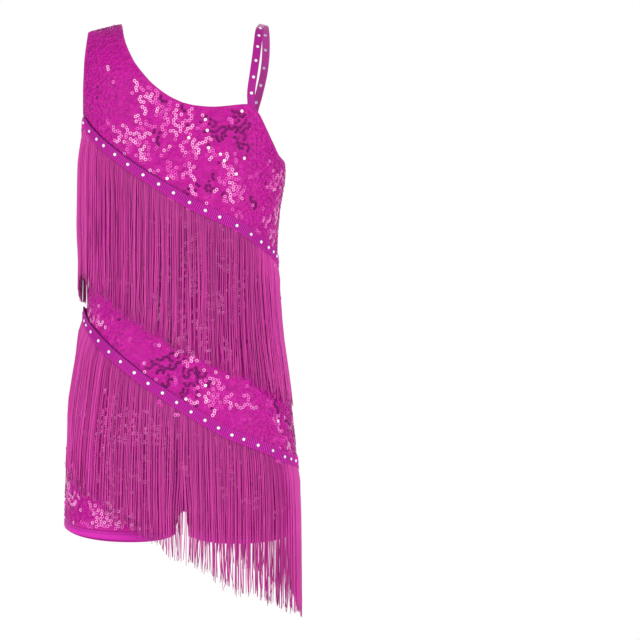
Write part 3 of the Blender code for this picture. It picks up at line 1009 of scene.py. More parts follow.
@dataclass(frozen=True)
class LiningKnit(Paint):
    """Matt fine knit with upright wales."""

    name: str = "lining_knit"
    face: Colour = (0.52, 0.034, 0.34)
    shade: Colour = (0.43, 0.026, 0.285)
    wales: float = 260.0
    patch: float = 45.0

    def lay(self) -> None:
        """Add the finish's nodes."""
        where = self.places()
        wale = self.wave(where, self.wales, "X", 0.4)
        course = self.wave(where, self.wales * 0.8, "Y", 0.4)
        patch = self.noise(where, self.patch, 3.0)
        height = self.sum(self.scaled(wale, 0.0, 0.7), self.scaled(course, 0.0, 0.3))
        level = self.sum(self.scaled(height, 0.0, 0.5), self.scaled(patch, 0.0, 0.5))
        colour = self.ramp(level, (0.1, self.shade), (0.85, self.face))
        self.dress(Base_Color=colour, Roughness=0.85, Sheen_Weight=0.2, Sheen_Roughness=0.5)
        self.relief(height, 0.00015, 0.5)


@dataclass(frozen=True)
class SatinBias(Paint):
    """Smooth satin binding, woven on the bias."""

    name: str = "satin_bias"
    face: Colour = (0.69, 0.025, 0.46)
    shade: Colour = (0.57, 0.017, 0.37)
    fold: Colour = (0.13, 0.0, 0.08)
    weave: float = 520.0
    streaks: Place = (30.0, 500.0, 1.0)

    def lay(self) -> None:
        """Add the finish's nodes."""
        where = self.places()
        bias = (0.0, 0.0, math.radians(45))
        turned = self.add("Mapping", {"Vector": where, "Rotation": bias}).outputs[0]
        twill = self.wave(turned, self.weave, "X", 0.3)
        drawn = self.add("Mapping", {"Vector": where, "Scale": self.streaks}).outputs[0]
        streak = self.noise(drawn, 1.0)
        colour = self.mixed(self.shade, self.face, self.scaled(streak, 0.1, 1.0))
        # The tone mixes in the fold colour: painted shade over the straps, the binding's fold line and the
        # painted shadow along the binding's top edge.
        colour = self.mixed(colour, self.fold, self.tone())
        self.dress(Base_Color=colour, Roughness=0.45, Specular_IOR_Level=0.12)
        self.dress(Sheen_Weight=0.03, Sheen_Roughness=0.3, Anisotropic=0.35)
        self.relief(self.sum(self.scaled(twill, 0.0, 0.5), self.scaled(streak, 0.0, 0.8)), 0.0001, 0.5)


@dataclass(frozen=True)
class Chainette(Paint):
    """Looped thread of the fringe, with painted shade and light from each point's tone."""

    name: str = "chainette"
    deep: Colour = (0.17, 0.0, 0.10)
    face: Colour = (0.63, 0.024, 0.35)
    light: Colour = (0.87, 0.08, 0.52)
    stitch: float = 210.0
    fibre: float = 1500.0

    def lay(self) -> None:
        """Add the finish's nodes."""
        where = self.places()
        chain = self.wave(where, self.stitch, "Y", 0.8)
        fibre = self.noise(where, self.fibre)
        shade = self.sum(self.tone(), self.scaled(chain, -0.14, 0.10), self.scaled(fibre, -0.08, 0.08))
        # Low tones are painted shade: the inner threads, and the sides and backs of every thread.
        colour = self.ramp(shade, (0.0, self.deep), (0.5, self.face), (1.0, self.light))
        self.dress(Base_Color=colour, Roughness=0.5, Specular_IOR_Level=0.35)
        self.dress(Sheen_Weight=0.2, Sheen_Roughness=0.35)
        self.relief(self.sum(chain, self.scaled(fibre, 0.0, 0.4)), 0.0003, 0.7)


@dataclass(frozen=True)
class RibbedTape(Paint):
    """Woven tape, with painted shade in the grooves between its ribs and a painted shadow along its top
    edge.
    """

    name: str = "ribbed_tape"
    groove: Colour = (0.09, 0.0, 0.09)
    side: Colour = (0.34, 0.005, 0.25)
    rib: Colour = (1.0, 0.022, 0.58)
    fibre: float = 1400.0

    def lay(self) -> None:
        """Add the finish's nodes."""
        fibre = self.noise(self.places(), self.fibre)
        shade = self.sum(self.tone(), self.scaled(fibre, -0.1, 0.1))
        # Low tones are painted shade in the grooves and the painted shadow along the tape's top edge.
        colour = self.ramp(shade, (0.0, self.groove), (0.45, self.side), (0.9, self.rib))
        self.dress(Base_Color=colour, Roughness=0.55, Specular_IOR_Level=0.15)
        self.dress(Sheen_Weight=0.04, Sheen_Roughness=0.4)
        self.relief(fibre, 0.00012, 0.5)


@dataclass(frozen=True)
class FoiledStone(Paint):
    """Clear stone on silver foil, with painted shade towards its girdle."""

    name: str = "foiled_stone"
    colour: Colour = (1.0, 0.99, 1.0)
    side: Colour = (0.52, 0.40, 0.66)
    edge: Colour = (0.24, 0.12, 0.34)
    cloud: float = 700.0

    def lay(self) -> None:
        """Add the finish's nodes."""
        cloud = self.noise(self.places(False), self.cloud, 1.0)
        level = self.sum(self.tone(), self.scaled(cloud, -0.15, 0.15))
        # Low tones are the painted shade of the stone's lower facets.
        tint = self.ramp(level, (0.25, self.edge), (0.55, self.side), (0.85, self.colour))
        self.dress(Base_Color=tint, Metallic=0.15, Roughness=self.scaled(cloud, 0.1, 0.24))
        self.dress(Coat_Weight=0.6, Coat_Roughness=0.05)


@dataclass(frozen=True)
class ClawMetal(Paint):
    """Dull metal back of a stone's setting."""

    name: str = "claw_metal"
    colour: Colour = (0.85, 0.84, 0.95)
    dull: Colour = (0.50, 0.42, 0.60)
    scratches: float = 900.0

    def lay(self) -> None:
        """Add the finish's nodes."""
        scratch = self.noise(self.places(False), self.scratches, 3.0)
        tint = self.mixed(self.dull, self.colour, self.scaled(scratch, 0.2, 1.0))
        self.dress(Base_Color=tint, Metallic=0.3, Roughness=self.scaled(scratch, 0.3, 0.5))


@dataclass(frozen=True)
class SewingThread(Paint):
    """Twisted sewing thread."""

    name: str = "sewing_thread"
    colour: Colour = (0.50, 0.020, 0.33)
    deep: Colour = (0.24, 0.008, 0.16)
    twist: float = 900.0

    def lay(self) -> None:
        """Add the finish's nodes."""
        where = self.places(False)
        twist = self.wave(where, self.twist, "DIAGONAL", 1.0)
        self.dress(Base_Color=self.mixed(self.deep, self.colour, twist), Roughness=0.5)
        self.relief(twist, 0.0001, 0.6)


@dataclass(frozen=True)
class PaleFloor(Paint):
    """Matt pale floor."""

    name: str = "pale_floor"
    colour: Colour = (0.90, 0.90, 0.90)
    shade: Colour = (0.87, 0.87, 0.87)
    cloud: float = 6.0

    def lay(self) -> None:
        """Add the finish's nodes."""
        cloud = self.noise(self.places(False), self.cloud, 4.0)
        self.dress(Base_Color=self.mixed(self.shade, self.colour, cloud), Roughness=0.8)


class Finishes:
    """Every finish of the garment, made once."""

    def __init__(self) -> None:
        """Make them."""
        self.ground = GroundCloth().make()
        self.foil = SequinFoil().make()
        self.lining = LiningKnit().make()
        self.satin = SatinBias().make()
        self.chainette = Chainette().make()
        self.tape = RibbedTape().make()
        self.stone = FoiledStone().make()
        self.claw = ClawMetal().make()
        self.thread = SewingThread().make()
        self.floor = PaleFloor().make()


@dataclass
class Panel:
    """One sequinned panel: its cut lines, its shell and its finished edges."""

    name: str
    node: str
    face: Face
    lines: Cuts
    flat: tuple[float, float]
    flat_area: float
    finishes: Finishes
    rows_per_step: int = 4
    half_columns: int = 44
    leg_arc_rows: int = 26
    leg_rows: int = 8
    outline_steps: int = 3
    edge_steps: int = 6
    wall: float = 1.2
    inwards: float = 0.0
    under_binding: float = 1.0

    @cached_property
    def ends(self) -> list[Array]:
        """Share and level of each cut line's right and left ends.

        Returns:
            Right shares, right levels, left shares and left levels.
        """
        rows = []
        for x0, z0, x1, z1, _ in self.lines:
            row = []
            for x, z, side in ((x0, z0, 0.0), (x1, z1, 1.0)):
                level = z if x is SIDE else FORM.level_of(x, z)
                row += [side if x is SIDE else float(FORM.share_of(x, level)), level]
            rows.append(row)
        return list(np.array(rows).T)

    def rows(self, per_step: int) -> Array:
        """Rows of right share, right level, left share, left level down to the legs.

        Args:
            per_step: Rows to each step of a cut line.

        Returns:
            A row of four numbers each.
        """
        places = np.arange(len(self.lines), dtype=float)
        counts = [line[4] * per_step for line in self.lines[:-1]]
        wanted = [k + step / count for k, count in enumerate(counts) for step in range(count)]
        wanted.append(places[-1])
        return np.stack([monotone(places, column, np.array(wanted)) for column in self.ends], -1)

    def pattern(self) -> tuple[Array, Array, Array]:
        """Share, level and leg side at each point of the panel's grid.

        Returns:
            Shares, levels and sides, a row a line.
        """
        half = self.half_columns
        part = np.concatenate([np.linspace(0.0, 0.5, half + 1), np.linspace(0.5, 1.0, half + 1)])
        side = np.repeat((-1.0, 1.0), half + 1)
        rows = self.rows(self.rows_per_step)
        share = rows[:, :1] + (rows[:, 2:3] - rows[:, :1]) * part
        level = rows[:, 1:2] + (rows[:, 3:] - rows[:, 1:2]) * part
        if self.legs:
            turn = np.sin(math.pi / 2 * np.arange(1, self.leg_arc_rows + 1) / self.leg_arc_rows)
            arc = FORM.leg_start + (FORM.crotch - FORM.leg_start) * turn
            arc = np.repeat(arc[:, None], len(part), 1)
            edge = FORM.hem(part, self.face.value) + BINDING_TALL - self.under_binding
            steps = np.arange(1, self.leg_rows + 1)[:, None] / self.leg_rows
            level = np.vstack([level, arc, FORM.crotch + (edge - FORM.crotch) * steps])
            share = np.vstack([share, np.tile(part, (self.leg_arc_rows + self.leg_rows, 1))])
        return share, level, np.tile(side, (len(share), 1))

    @property
    def legs(self) -> bool:
        """Whether the panel runs into the legs."""
        return self.lines[-1][1] == FORM.leg_start

    def lifted(self, share: Array, level: Array, side: Array, lift: float) -> Array:
        """Points on the creased cloth, lifted off its face.

        Args:
            share: Share of the way across.
            level: Level of the points.
            side: Which leg.
            lift: Millimetres off the face.

        Returns:
            The points.
        """
        face = self.face.value
        points = FORM.cloth(share, face, level, side)
        away = lift + CREASES.lift(face, points[..., 0], points[..., 2])
        return points + FORM.normal(share, face, level, side) * away[..., None]

    def clear_of_seam(self, points: Array) -> None:
        """Keep points on the panel's own side of the side seams, in place."""
        face = self.face.value
        points[..., 1] = face * np.maximum(face * points[..., 1], SEAM_GAP / 2)

    def build(self) -> Piece:
        """The panel's shell with its rim.

        Returns:
            The piece.
        """
        share, level, side = self.pattern()
        rows, cols = share.shape
        outer = self.lifted(share, level, side, -self.inwards)
        inner = outer - FORM.normal(share, self.face.value, level, side) * self.wall
        self.clear_of_seam(outer)
        self.clear_of_seam(inner)
        number = np.arange(rows * cols).reshape(rows, cols)
        half = self.half_columns
        joined = level[:, half] >= FORM.crotch - 0.01
        number[joined, half + 1] = number[joined, half]
        shell = []
        for first in (number, number + rows * cols):
            for block in (first[:, : half + 1], first[:, half + 1 :]):
                quads = np.stack([block[:-1, :-1], block[1:, :-1], block[1:, 1:], block[:-1, 1:]], -1)
                shell.append(quads.reshape(-1, 4))
        start = np.flatnonzero(joined)[-1] if self.legs else rows - 1
        edges = [number[0], number[:, 0], number[:, -1]]
        if self.legs:
            edges += [number[-1, : half + 1], number[-1, half + 1 :]]
            edges += [number[start:, half], number[start:, half + 1]]
        else:
            edges.append(number[-1])
        rims = [np.stack([e[:-1], e[1:], e[1:] + rows * cols, e[:-1] + rows * cols], -1) for e in edges]
        rims = [rim[rim[:, 0] != rim[:, 1]] for rim in rims]
        girth = FORM.girth(level)
        uv = np.stack([share * girth, level], -1).reshape(-1, 2) * MM
        counts = [sum(map(len, shell[:2])), sum(map(len, shell[2:])) + sum(map(len, rims))]
        obj = add_mesh(
            self.name,
            np.vstack([outer.reshape(-1, 3), inner.reshape(-1, 3)]),
            shell + rims,
            self.materials(),
            uv=np.vstack([uv, uv]),
            finish_of=np.repeat((0, 1), counts),
        )
        self.clean(obj)
        return obj

    def clean(self, obj: Piece) -> None:
        """Drop the points that the joined middle leaves unused.

        Args:
            obj: The panel.
        """
        work = bmesh.new()
        work.from_mesh(obj.data)
        loose = [vert for vert in work.verts if not vert.link_faces]
        bmesh.ops.delete(work, geom=loose, context="VERTS")
        work.to_mesh(obj.data)
        work.free()

    def materials(self) -> list[Material]:
        """Outer and inner finish."""
        return [self.finishes.ground, self.finishes.lining]

    def outline(self) -> Array:
        """The panel's edge as (cloth length across, level), all round.

        Returns:
            Its corners in order.
        """
        rows = self.rows(self.outline_steps)
        part = np.linspace(0.0, 1.0, 81)
        edge = FORM.hem(part, self.face.value) + BINDING_TALL
        right = np.stack([rows[:, 0], rows[:, 1]], -1)
        left = np.stack([rows[:, 2], rows[:, 3]], -1)
        ring = np.vstack([right, np.stack([part, edge], -1), left[::-1]])
        return np.stack([(ring[:, 0] - 0.5) * FORM.girth(ring[:, 1]), ring[:, 1]], -1)

    def edge_run(self, column: int, first: int, last: int) -> Array:
        """Points along the turned edge at one end of the cut lines, from line to line.

        Args:
            column: 0 for the right end, 2 for the left end.
            first: First cut line.
            last: Last cut line.

        Returns:
            The points.
        """
        counts = np.cumsum([0] + [line[4] * self.edge_steps for line in self.lines[:-1]])
        picked = self.rows(self.edge_steps)[counts[first] : counts[last] + 1]
        share, level = picked[:, column], picked[:, column + 1]
        points = self.lifted(share, level, side_of(share), -self.wall / 2)
        self.clear_of_seam(points)
        return points


@dataclass
class Lining(Panel):
    """The plain lining behind the front."""

    wall: float = 0.8
    inwards: float = 2.0

    def materials(self) -> list[Material]:
        """Outer and inner finish."""
        return [self.finishes.lining, self.finishes.lining]


FRONT_LINES = (
    (-95.2, -8.4, -64, -0.6, 3), (-97.3, -21, -61, -14, 2), (-99.5, -40, -52.4, -37, 2),
    (-100.3, -57, -36, -59.4, 2), (-100.8, -75, -11.6, -77.8, 1), (-101, -92, 8.9, -84.9, 1),
    (SIDE, -106, 30, -86.6, 1), (SIDE, -122, 61.9, -83.8, 1), (SIDE, -138, 73, -91, 2),
    (SIDE, -160, 88, -120, 1), (SIDE, -168, 95, -134, 1), (SIDE, -176, SIDE, -148, 2),
    (SIDE, -210, SIDE, -190, 2), (SIDE, -250, SIDE, -238, 1), (SIDE, -275, SIDE, -266, 2),
    (SIDE, -318, SIDE, -314, 2), (SIDE, -360, SIDE, -360, 1), (SIDE, -400, SIDE, -400, 0),
)
LINING_LAST_LINE = 14
BACK_LINES = (
    (-95.2, -8.4, -65.8, -1, 3), (-97.3, -21, -65.6, -18, 2), (-99, -40, -65.3, -42, 2),
    (-99.9, -57, -63.6, -66, 2), (-100.4, -75, -60, -90, 2), (-100.9, -93, -54, -114, 1),
    (SIDE, -106, -48, -132, 1), (SIDE, -124, -45.3, -148, 1), (SIDE, -142, -43, -159.5, 1),
    (SIDE, -166, -30, -172, 1), (SIDE, -192, -8, -193, 1), (SIDE, -218, 20, -212, 1),
    (SIDE, -240, 50, -226, 1), (SIDE, -258, 78, -233.5, 1), (SIDE, -272, SIDE, -236.5, 2),
    (SIDE, -312, SIDE, -292, 2), (SIDE, -356, SIDE, -346, 2), (SIDE, -400, SIDE, -400, 0),
)


class Bench:
    """Small hard shapes modelled with Blender's own tools, then read as points and faces."""

    FLAT = 0.9

    @staticmethod
    def pick(test: Callable[[bmesh.types.BMFace], bool]) -> None:
        """Select only the faces of the open mesh that pass a test.

        Args:
            test: Says which faces to take.
        """
        bpy.ops.mesh.select_mode(type="FACE")
        bpy.ops.mesh.select_all(action="DESELECT")
        work = bmesh.from_edit_mesh(bpy.context.edit_object.data)
        for flat in work.faces:
            flat.select_set(test(flat))
        bmesh.update_edit_mesh(bpy.context.edit_object.data)

    @staticmethod
    def read() -> Model:
        """Leave edit mode, and take the model's points in millimetres and its faces by size.

        Returns:
            Points and faces.
        """
        bpy.ops.object.mode_set(mode="OBJECT")
        obj = bpy.context.object
        points = np.array([tuple(obj.matrix_world @ vert.co) for vert in obj.data.vertices])
        mesh = obj.data
        corners = [tuple(flat.vertices) for flat in mesh.polygons]
        sizes = sorted({len(flat) for flat in corners})
        faces = [np.array([flat for flat in corners if len(flat) == size]) for size in sizes]
        bpy.data.objects.remove(obj)
        bpy.data.meshes.remove(mesh)
        return points / MM, faces

    @classmethod
    def start(cls, sides: int, radius: float, tall: float) -> None:
        """A short round blank in edit mode.

        Args:
            sides: Corners round it.
            radius: Its radius.
            tall: Its height.
        """
        bpy.ops.object.select_all(action="DESELECT")
        place = (0.0, 0.0, tall * MM / 2)
        bpy.ops.mesh.primitive_cylinder_add(
            vertices=sides, radius=radius * MM, depth=tall * MM, location=place
        )
        bpy.ops.object.mode_set(mode="EDIT")

    @classmethod
    def sequin(
        cls, radius: float = 1.66, hole: float = 0.58, cup: float = 0.3, tall: float = 0.16
    ) -> Model:
        """A cupped sequin with its sewing hole.

        Args:
            radius: Outer radius.
            hole: Radius of the hole.
            cup: Depth of the cup.
            tall: Thickness.

        Returns:
            Points and faces.
        """
        cls.start(7, radius, tall)
        cls.pick(lambda flat: abs(flat.normal.z) > cls.FLAT)
        bpy.ops.mesh.inset(thickness=(radius - hole) * MM, use_individual=True)
        near = 0.1 * hole * MM
        cls.pick(lambda flat: abs(flat.normal.z) > cls.FLAT and flat.calc_center_median().xy.length < near)
        bpy.ops.transform.translate(value=(0.0, 0.0, -cup * MM))
        bpy.ops.mesh.bridge_edge_loops()
        far = hole * 1.5 * MM
        cls.pick(lambda flat: abs(flat.normal.z) < 0.1 and flat.calc_center_median().xy.length > far)
        bpy.ops.transform.resize(value=(1.0, 1.0, 0.0), center_override=(0.0, 0.0, tall * MM / 2))
        bpy.ops.mesh.select_all(action="SELECT")
        bpy.ops.mesh.remove_doubles(threshold=0.02 * MM)
        bpy.ops.mesh.normals_make_consistent(inside=False)
        return cls.read()

    @classmethod
    def stone(
        cls,
        radius: float = 1.78,
        girdle: float = 0.45,
        crown: float = 0.75,
        slope: float = 0.42,
        table: float = 0.12,
    ) -> Model:
        """A flat-backed stone with crown facets and a table.

        Args:
            radius: Radius of the girdle.
            girdle: Height of the girdle.
            crown: Height of the facets.
            slope: Share of the radius under the facets.
            table: Height of the table over the facets.

        Returns:
            Points and faces.
        """
        cls.start(10, radius, girdle)
        cls.pick(lambda flat: flat.normal.z > cls.FLAT)
        bpy.ops.mesh.inset(thickness=slope * radius * MM)
        bpy.ops.transform.translate(value=(0.0, 0.0, crown * MM))
        bpy.ops.transform.rotate(value=math.radians(18), orient_axis="Z", center_override=(0.0, 0.0, 0.0))
        bpy.ops.mesh.inset(thickness=0.14 * radius * MM)
        bpy.ops.transform.translate(value=(0.0, 0.0, table * MM))
        return cls.read()

    @classmethod
    def claw(cls, radius: float = 1.7, tall: float = 0.5, rim: float = 0.3, sunk: float = 0.25) -> Model:
        """The back of a stone's setting, with a sunk middle.

        Args:
            radius: Its radius.
            tall: Its height.
            rim: Share of the radius in the rim.
            sunk: Depth of the middle.

        Returns:
            Points and faces.
        """
        cls.start(8, radius, tall)
        cls.pick(lambda flat: flat.normal.z > cls.FLAT)
        bpy.ops.mesh.inset(thickness=rim * radius * MM)
        bpy.ops.mesh.inset(thickness=rim / 2 * radius * MM)
        bpy.ops.transform.translate(value=(0.0, 0.0, -sunk * MM))
        return cls.read()

    @classmethod
    def stitch(
        cls, long: float = 2.1, radius: float = 0.2, bend: float = 0.28, dip: float = 0.35
    ) -> Model:
        """One stitch: a short thread that dips into the cloth at both ends.

        Args:
            long: Its length.
            radius: Radius of the thread.
            bend: Share of the length from the middle to each bend.
            dip: How far the ends dip.

        Returns:
            Points and faces.
        """
        bpy.ops.object.select_all(action="DESELECT")
        bpy.ops.mesh.primitive_cylinder_add(
            vertices=4, radius=radius * MM, depth=long * MM, rotation=(0.0, math.pi / 2, 0.0)
        )
        bpy.ops.object.mode_set(mode="EDIT")
        for end in (1, -1):
            bpy.ops.mesh.select_all(action="SELECT")
            bpy.ops.mesh.bisect(plane_co=(end * long * bend * MM, 0.0, 0.0), plane_no=(1.0, 0.0, 0.0))
        points, faces = cls.read()
        points[:, 2] -= dip * (np.abs(points[:, 0]) / (long / 2)) ** 3
        return points, faces


def copies(model: Model, centre: Array, along: Array, out: Array) -> Model:
    """Copies of a small model.

    Args:
        model: Points in millimetres and faces by size.
        centre: Where each copy's base goes.
        along: Way of each copy's x.
        out: Way of each copy's z.

    Returns:
        Points and faces of them all.
    """
    points, faces = model
    out = unit(out)
    across = unit(np.cross(out, along))
    along = np.cross(across, out)
    turned = along[:, None] * points[None, :, :1] + across[:, None] * points[None, :, 1:2]
    turned = turned + out[:, None] * points[None, :, 2:]
    starts = (np.arange(len(centre)) * len(points))[:, None, None]
    spread = [(block[None] + starts).reshape(-1, block.shape[1]) for block in faces]
    return (centre[:, None] + turned).reshape(-1, 3), spread


@dataclass
class SequinField:
    """Sequins sewn in wandering chains over one panel."""

    panel: Panel
    finishes: Finishes
    patches: Table
    seed: int
    pitch: float = 2.78
    clear: float = 3.02
    lift: float = 0.55
    under_fringe: float = 0.42
    fringe_drop: float = 150.0
    tape_clear: float = 0.4
    # Tone of each sequin's middle against its rim: a painted shade in the cup that leaves a painted ring
    # highlight round it.
    painted_centre_shade: float = 0.42
    gathered: float = 1.5
    halo: float = 1.9
    margin: float = 2.3
    top_clear: float = 4.0
    slit_clear: float = 4.0
    # Highest tone under the fringe, which keeps the painted glints there pink as if shaded by the threads;
    # peep lifts those painted glints between the threads.
    veiled: float = 0.88
    peep: float = 1.7
    # Flashes are painted highlights: shares of sequins painted white all over, among the bright chains and
    # elsewhere, and their tone.
    flashes: tuple[float, float] = (0.016, 0.0006)
    flash_tone: float = 1.06
    # Shares of chains with a painted glint and with a painted dark reflection away from the patches.
    strays: tuple[float, float] = (0.008, 0.012)
    # Tones of the faint painted glints round the patches, of the painted glints and of the painted dark
    # reflections.
    painted_faint_glint_tones: tuple[float, float] = (0.6, 0.74)
    painted_glint_tones: tuple[float, float] = (0.70, 1.04)
    painted_dark_reflection_tones: tuple[float, float] = (0.0, 0.14)
    # Unevenness of the shade, then of the tilt, from chain to chain and within a chain.
    shade_loose: tuple[float, float] = (0.035, 0.03)
    tilt_loose: tuple[float, float] = (0.06, 0.04)
    # Tones over glinting are painted glints, over bright a sequin may be painted as a flash, and rim is
    # where the painted ring highlight rises from the shaded middle.
    glinting: float = 0.62
    bright: float = 0.7
    rim: tuple[float, float] = (0.6, 1.4)
    # Spacing of the chains' starts and the most sequins in a chain, for each pass over the panel.
    passes: tuple[tuple[float, int], ...] = ((6.6, 10), (4.4, 7), (3.2, 3))
    bends: tuple[float, float] = (0.5, 1.05)
    bend_for: int = 3
    cell: float = 3.0
    most_in_piece: int = 4500

    def inside(self, place: Array) -> Array:
        """Find which places lie within the panel's edge.

        Args:
            place: Length across the cloth from its middle, and level, one row a place.

        Returns:
            True for each place that a sequin may take.
        """
        ring = self.panel.outline()
        start, end = ring, np.roll(ring, -1, axis=0)
        x, z = place[:, :1], place[:, 1:]
        spans = (start[:, 1] > z) != (end[:, 1] > z)
        rise = np.where(end[:, 1] == start[:, 1], TINY, end[:, 1] - start[:, 1])
        crossing = (end[:, 0] - start[:, 0]) * (z - start[:, 1]) / rise + start[:, 0]
        within = (spans & (x < crossing)).sum(axis=1) % 2 == 1
        run = end - start
        t = (x - start[:, 0]) * run[:, 0] + (z - start[:, 1]) * run[:, 1]
        t = np.clip(t / np.maximum((run**2).sum(axis=1), TINY), 0, 1)
        off = np.hypot(x - start[:, 0] - t * run[:, 0], z - start[:, 1] - t * run[:, 1]).min(axis=1)
        slit = (place[:, 1] < FORM.crotch + self.slit_clear) & (np.abs(place[:, 0]) < self.slit_clear)
        top = FORM.arch_foot + FORM.arch_rise - self.top_clear
        return within & (off > self.margin) & ~slit & (place[:, 1] < top)

    def allowed(self, place: Array) -> tuple[Array, Array]:
        """Find where sequins may be sewn, and where fringe hangs over them.

        Args:
            place: Length across the cloth and level, one row a place.

        Returns:
            Whether each place is free of edges and tapes, and whether a tier covers it.
        """
        level = place[:, 1]
        share = np.clip(place[:, 0] / FORM.girth(level) + 0.5, 0, 1)
        way = share if self.panel.face is Face.FRONT else 2 - share
        good, covered = self.inside(place), np.zeros(len(place), bool)
        for line in (UPPER, LOWER):
            below = line.middle(way) - level
            half = line.half(way)
            good &= np.abs(below) > half + self.tape_clear
            covered |= (below > half) & (below < self.fringe_drop)
        return good, covered

    def chains(self) -> tuple[Array, Array]:
        """Sew the chains in passes, each closer than the one before.

        Returns:
            The place of each sequin, and the number of its chain.
        """
        rng = np.random.default_rng(self.seed)
        ring = self.panel.outline()
        low, high = ring.min(axis=0) - 4, ring.max(axis=0) + 4
        cells_x, cells_z = (int(v) for v in np.ceil(high - low) + 1)
        grid = np.stack(np.meshgrid(np.arange(cells_x), np.arange(cells_z), indexing="ij"), -1) + low
        good, covered = (v.reshape(cells_x, cells_z) for v in self.allowed(grid.reshape(-1, 2)))
        taken: dict[tuple[int, int], list[tuple[float, float, int]]] = {}
        places, numbers, chain = [], [], 0

        def on_grid(mask: Array, x: float, z: float) -> bool:
            """Whether the millimetre at a place is on the grid and in the mask."""
            i, j = int(round(x - low[0])), int(round(z - low[1]))
            return 0 <= i < cells_x and 0 <= j < cells_z and bool(mask[i, j])

        def free(x: float, z: float, own: int) -> bool:
            """Whether a sequin fits there.

            Args:
                x: Length across the cloth.
                z: Level.
                own: Number of the last sequin sewn, which may be closer.

            Returns:
                Whether the place is allowed and clear of the others.
            """
            if not on_grid(good, x, z):
                return False
            a, b = int(x // self.cell), int(z // self.cell)
            near = (taken.get((i, j), ()) for i in (a - 1, a, a + 1) for j in (b - 1, b, b + 1))
            return not any(
                number < own and (px - x) ** 2 + (pz - z) ** 2 < self.clear**2
                for block in near
                for px, pz, number in block
            )

        for spacing, longest in self.passes:
            lines = [np.arange(low[axis], high[axis], spacing) for axis in (0, 1)]
            starts = np.stack(np.meshgrid(*lines), -1).reshape(-1, 2)
            starts = rng.permutation(starts + rng.uniform(-0.4, 0.4, starts.shape) * spacing)
            for x, z in starts:
                turn = rng.uniform(0, 2 * math.pi)
                bend = rng.choice((-1.0, 1.0)) * rng.uniform(*self.bends)
                keep = rng.random()
                length = int(rng.integers(max(1, longest // 2), longest + 1))
                if on_grid(covered, x, z) and keep > self.under_fringe:
                    continue
                for step in range(length):
                    if step and step % self.bend_for == 0:
                        bend = -bend
                    if not free(x, z, len(places) - 1):
                        break
                    cell = (int(x // self.cell), int(z // self.cell))
                    taken.setdefault(cell, []).append((x, z, len(places)))
                    places.append((x, z))
                    numbers.append(chain)
                    turn += bend
                    x, z = x + self.pitch * math.cos(turn), z + self.pitch * math.sin(turn)
                chain += 1
        return np.array(places), np.array(numbers)

    def tones(self, first: Array, numbers: Array, rng: Draws) -> Array:
        """Colour the chains: those with painted glints and painted dark reflections gather in the patches of
        the cloth.

        Args:
            first: Place of each chain, x and z.
            numbers: Number of each sequin's chain.
            rng: Draws the shades.

        Returns:
            The tone of each sequin, 0 a painted dark reflection to 1 a painted glint.
        """
        count = numbers.max() + 1
        bright, dark = (np.full(count, stray) for stray in self.strays)
        faint = np.zeros(count)
        for x, z, reach, painted_glint, painted_dark_reflection in self.patches:
            far = ((first[:, 0] - x) ** 2 + (first[:, 1] - z) ** 2) / reach**2
            near = np.exp(-far / 1.25)
            bright = np.maximum(bright, self.gathered * near * painted_glint)
            dark = np.maximum(dark, self.gathered * near * painted_dark_reflection)
            faint = np.maximum(faint, 0.5 * painted_glint * np.exp(-far / self.halo**2))
        draw = rng.random(count)
        chain, own = self.shade_loose
        base = 0.5 + rng.normal(0, chain, count)
        base = np.where(rng.random(count) < faint, rng.uniform(*self.painted_faint_glint_tones, count), base)
        base = np.where(draw < bright, rng.uniform(*self.painted_glint_tones, count), base)
        painted_dark_reflection = (draw >= bright) & (draw < bright + dark)
        base = np.where(painted_dark_reflection, rng.uniform(*self.painted_dark_reflection_tones, count), base)
        return np.clip(base[numbers] + rng.normal(0, own, len(numbers)), 0, 1)

    def build(self) -> list[Piece]:
        """Build the sequins, a few thousand in a piece.

        Returns:
            The pieces, from the top down.
        """
        rng = np.random.default_rng(self.seed + 1)
        places, numbers = self.chains()
        level = places[:, 1]
        share = np.clip(places[:, 0] / FORM.girth(level) + 0.5, 0.002, 0.998)
        side = side_of(share)
        centre = self.panel.lifted(share, level, side, self.lift)
        normal = FORM.normal(share, self.panel.face.value, level, side)
        first = np.zeros((numbers.max() + 1, 2))
        first[numbers] = centre[:, (0, 2)]
        tone = self.tones(first, numbers, rng)
        covered = self.allowed(places)[1]
        # Painted glints under the fringe are held to pink tones, a painted shade of the threads over them,
        # and lifted between the threads.
        tone = np.where(covered, np.minimum(tone, self.veiled), tone)
        centre = centre + normal * np.where(covered & (tone > self.glinting), self.peep, 0.0)[:, None]
        # Painted highlights: a few sequins painted white all over, as flashes.
        flash = (rng.random(len(tone)) < np.where(tone > self.bright, *self.flashes)) & ~covered
        tone = np.where(flash, self.flash_tone, tone)
        painted_centre_shade = np.where(flash, 1.0, self.painted_centre_shade)[:, None]
        chain, own = self.tilt_loose
        tilt = rng.normal(0, chain, (numbers.max() + 1, 3))[numbers]
        normal = unit(normal + (tilt + rng.normal(0, own, (len(numbers), 3))))
        spin = rng.uniform(0, 2 * math.pi, len(numbers))
        level_way = unit(np.cross(normal, (0.0, 1.0, 0.02)))
        along = level_way * np.cos(spin)[:, None] + np.cross(normal, level_way) * np.sin(spin)[:, None]
        model = Bench.sequin()
        # Painted ring highlight: the middle of each sequin painted darker than its rim, except on flashes.
        rim = smooth_step(np.hypot(model[0][:, 0], model[0][:, 1]), *self.rim)
        order = np.argsort(-centre[:, 2], kind="stable")
        made = []
        for part, chosen in enumerate(np.array_split(order, math.ceil(len(order) / self.most_in_piece))):
            points, faces = copies(model, centre[chosen], along[chosen], normal[chosen])
            name = f"sequins_{self.panel.face.name.lower()}_{part + 1}"
            tones = (tone[:, None] * (painted_centre_shade + (1 - painted_centre_shade) * rim))[chosen].ravel()
            foil = [self.finishes.foil]
            made.append(add_mesh(name, points, faces, foil, tone=tones, smooth=False, face_out=False))
            settle(made[-1], Slot.SEQUIN)
        return made


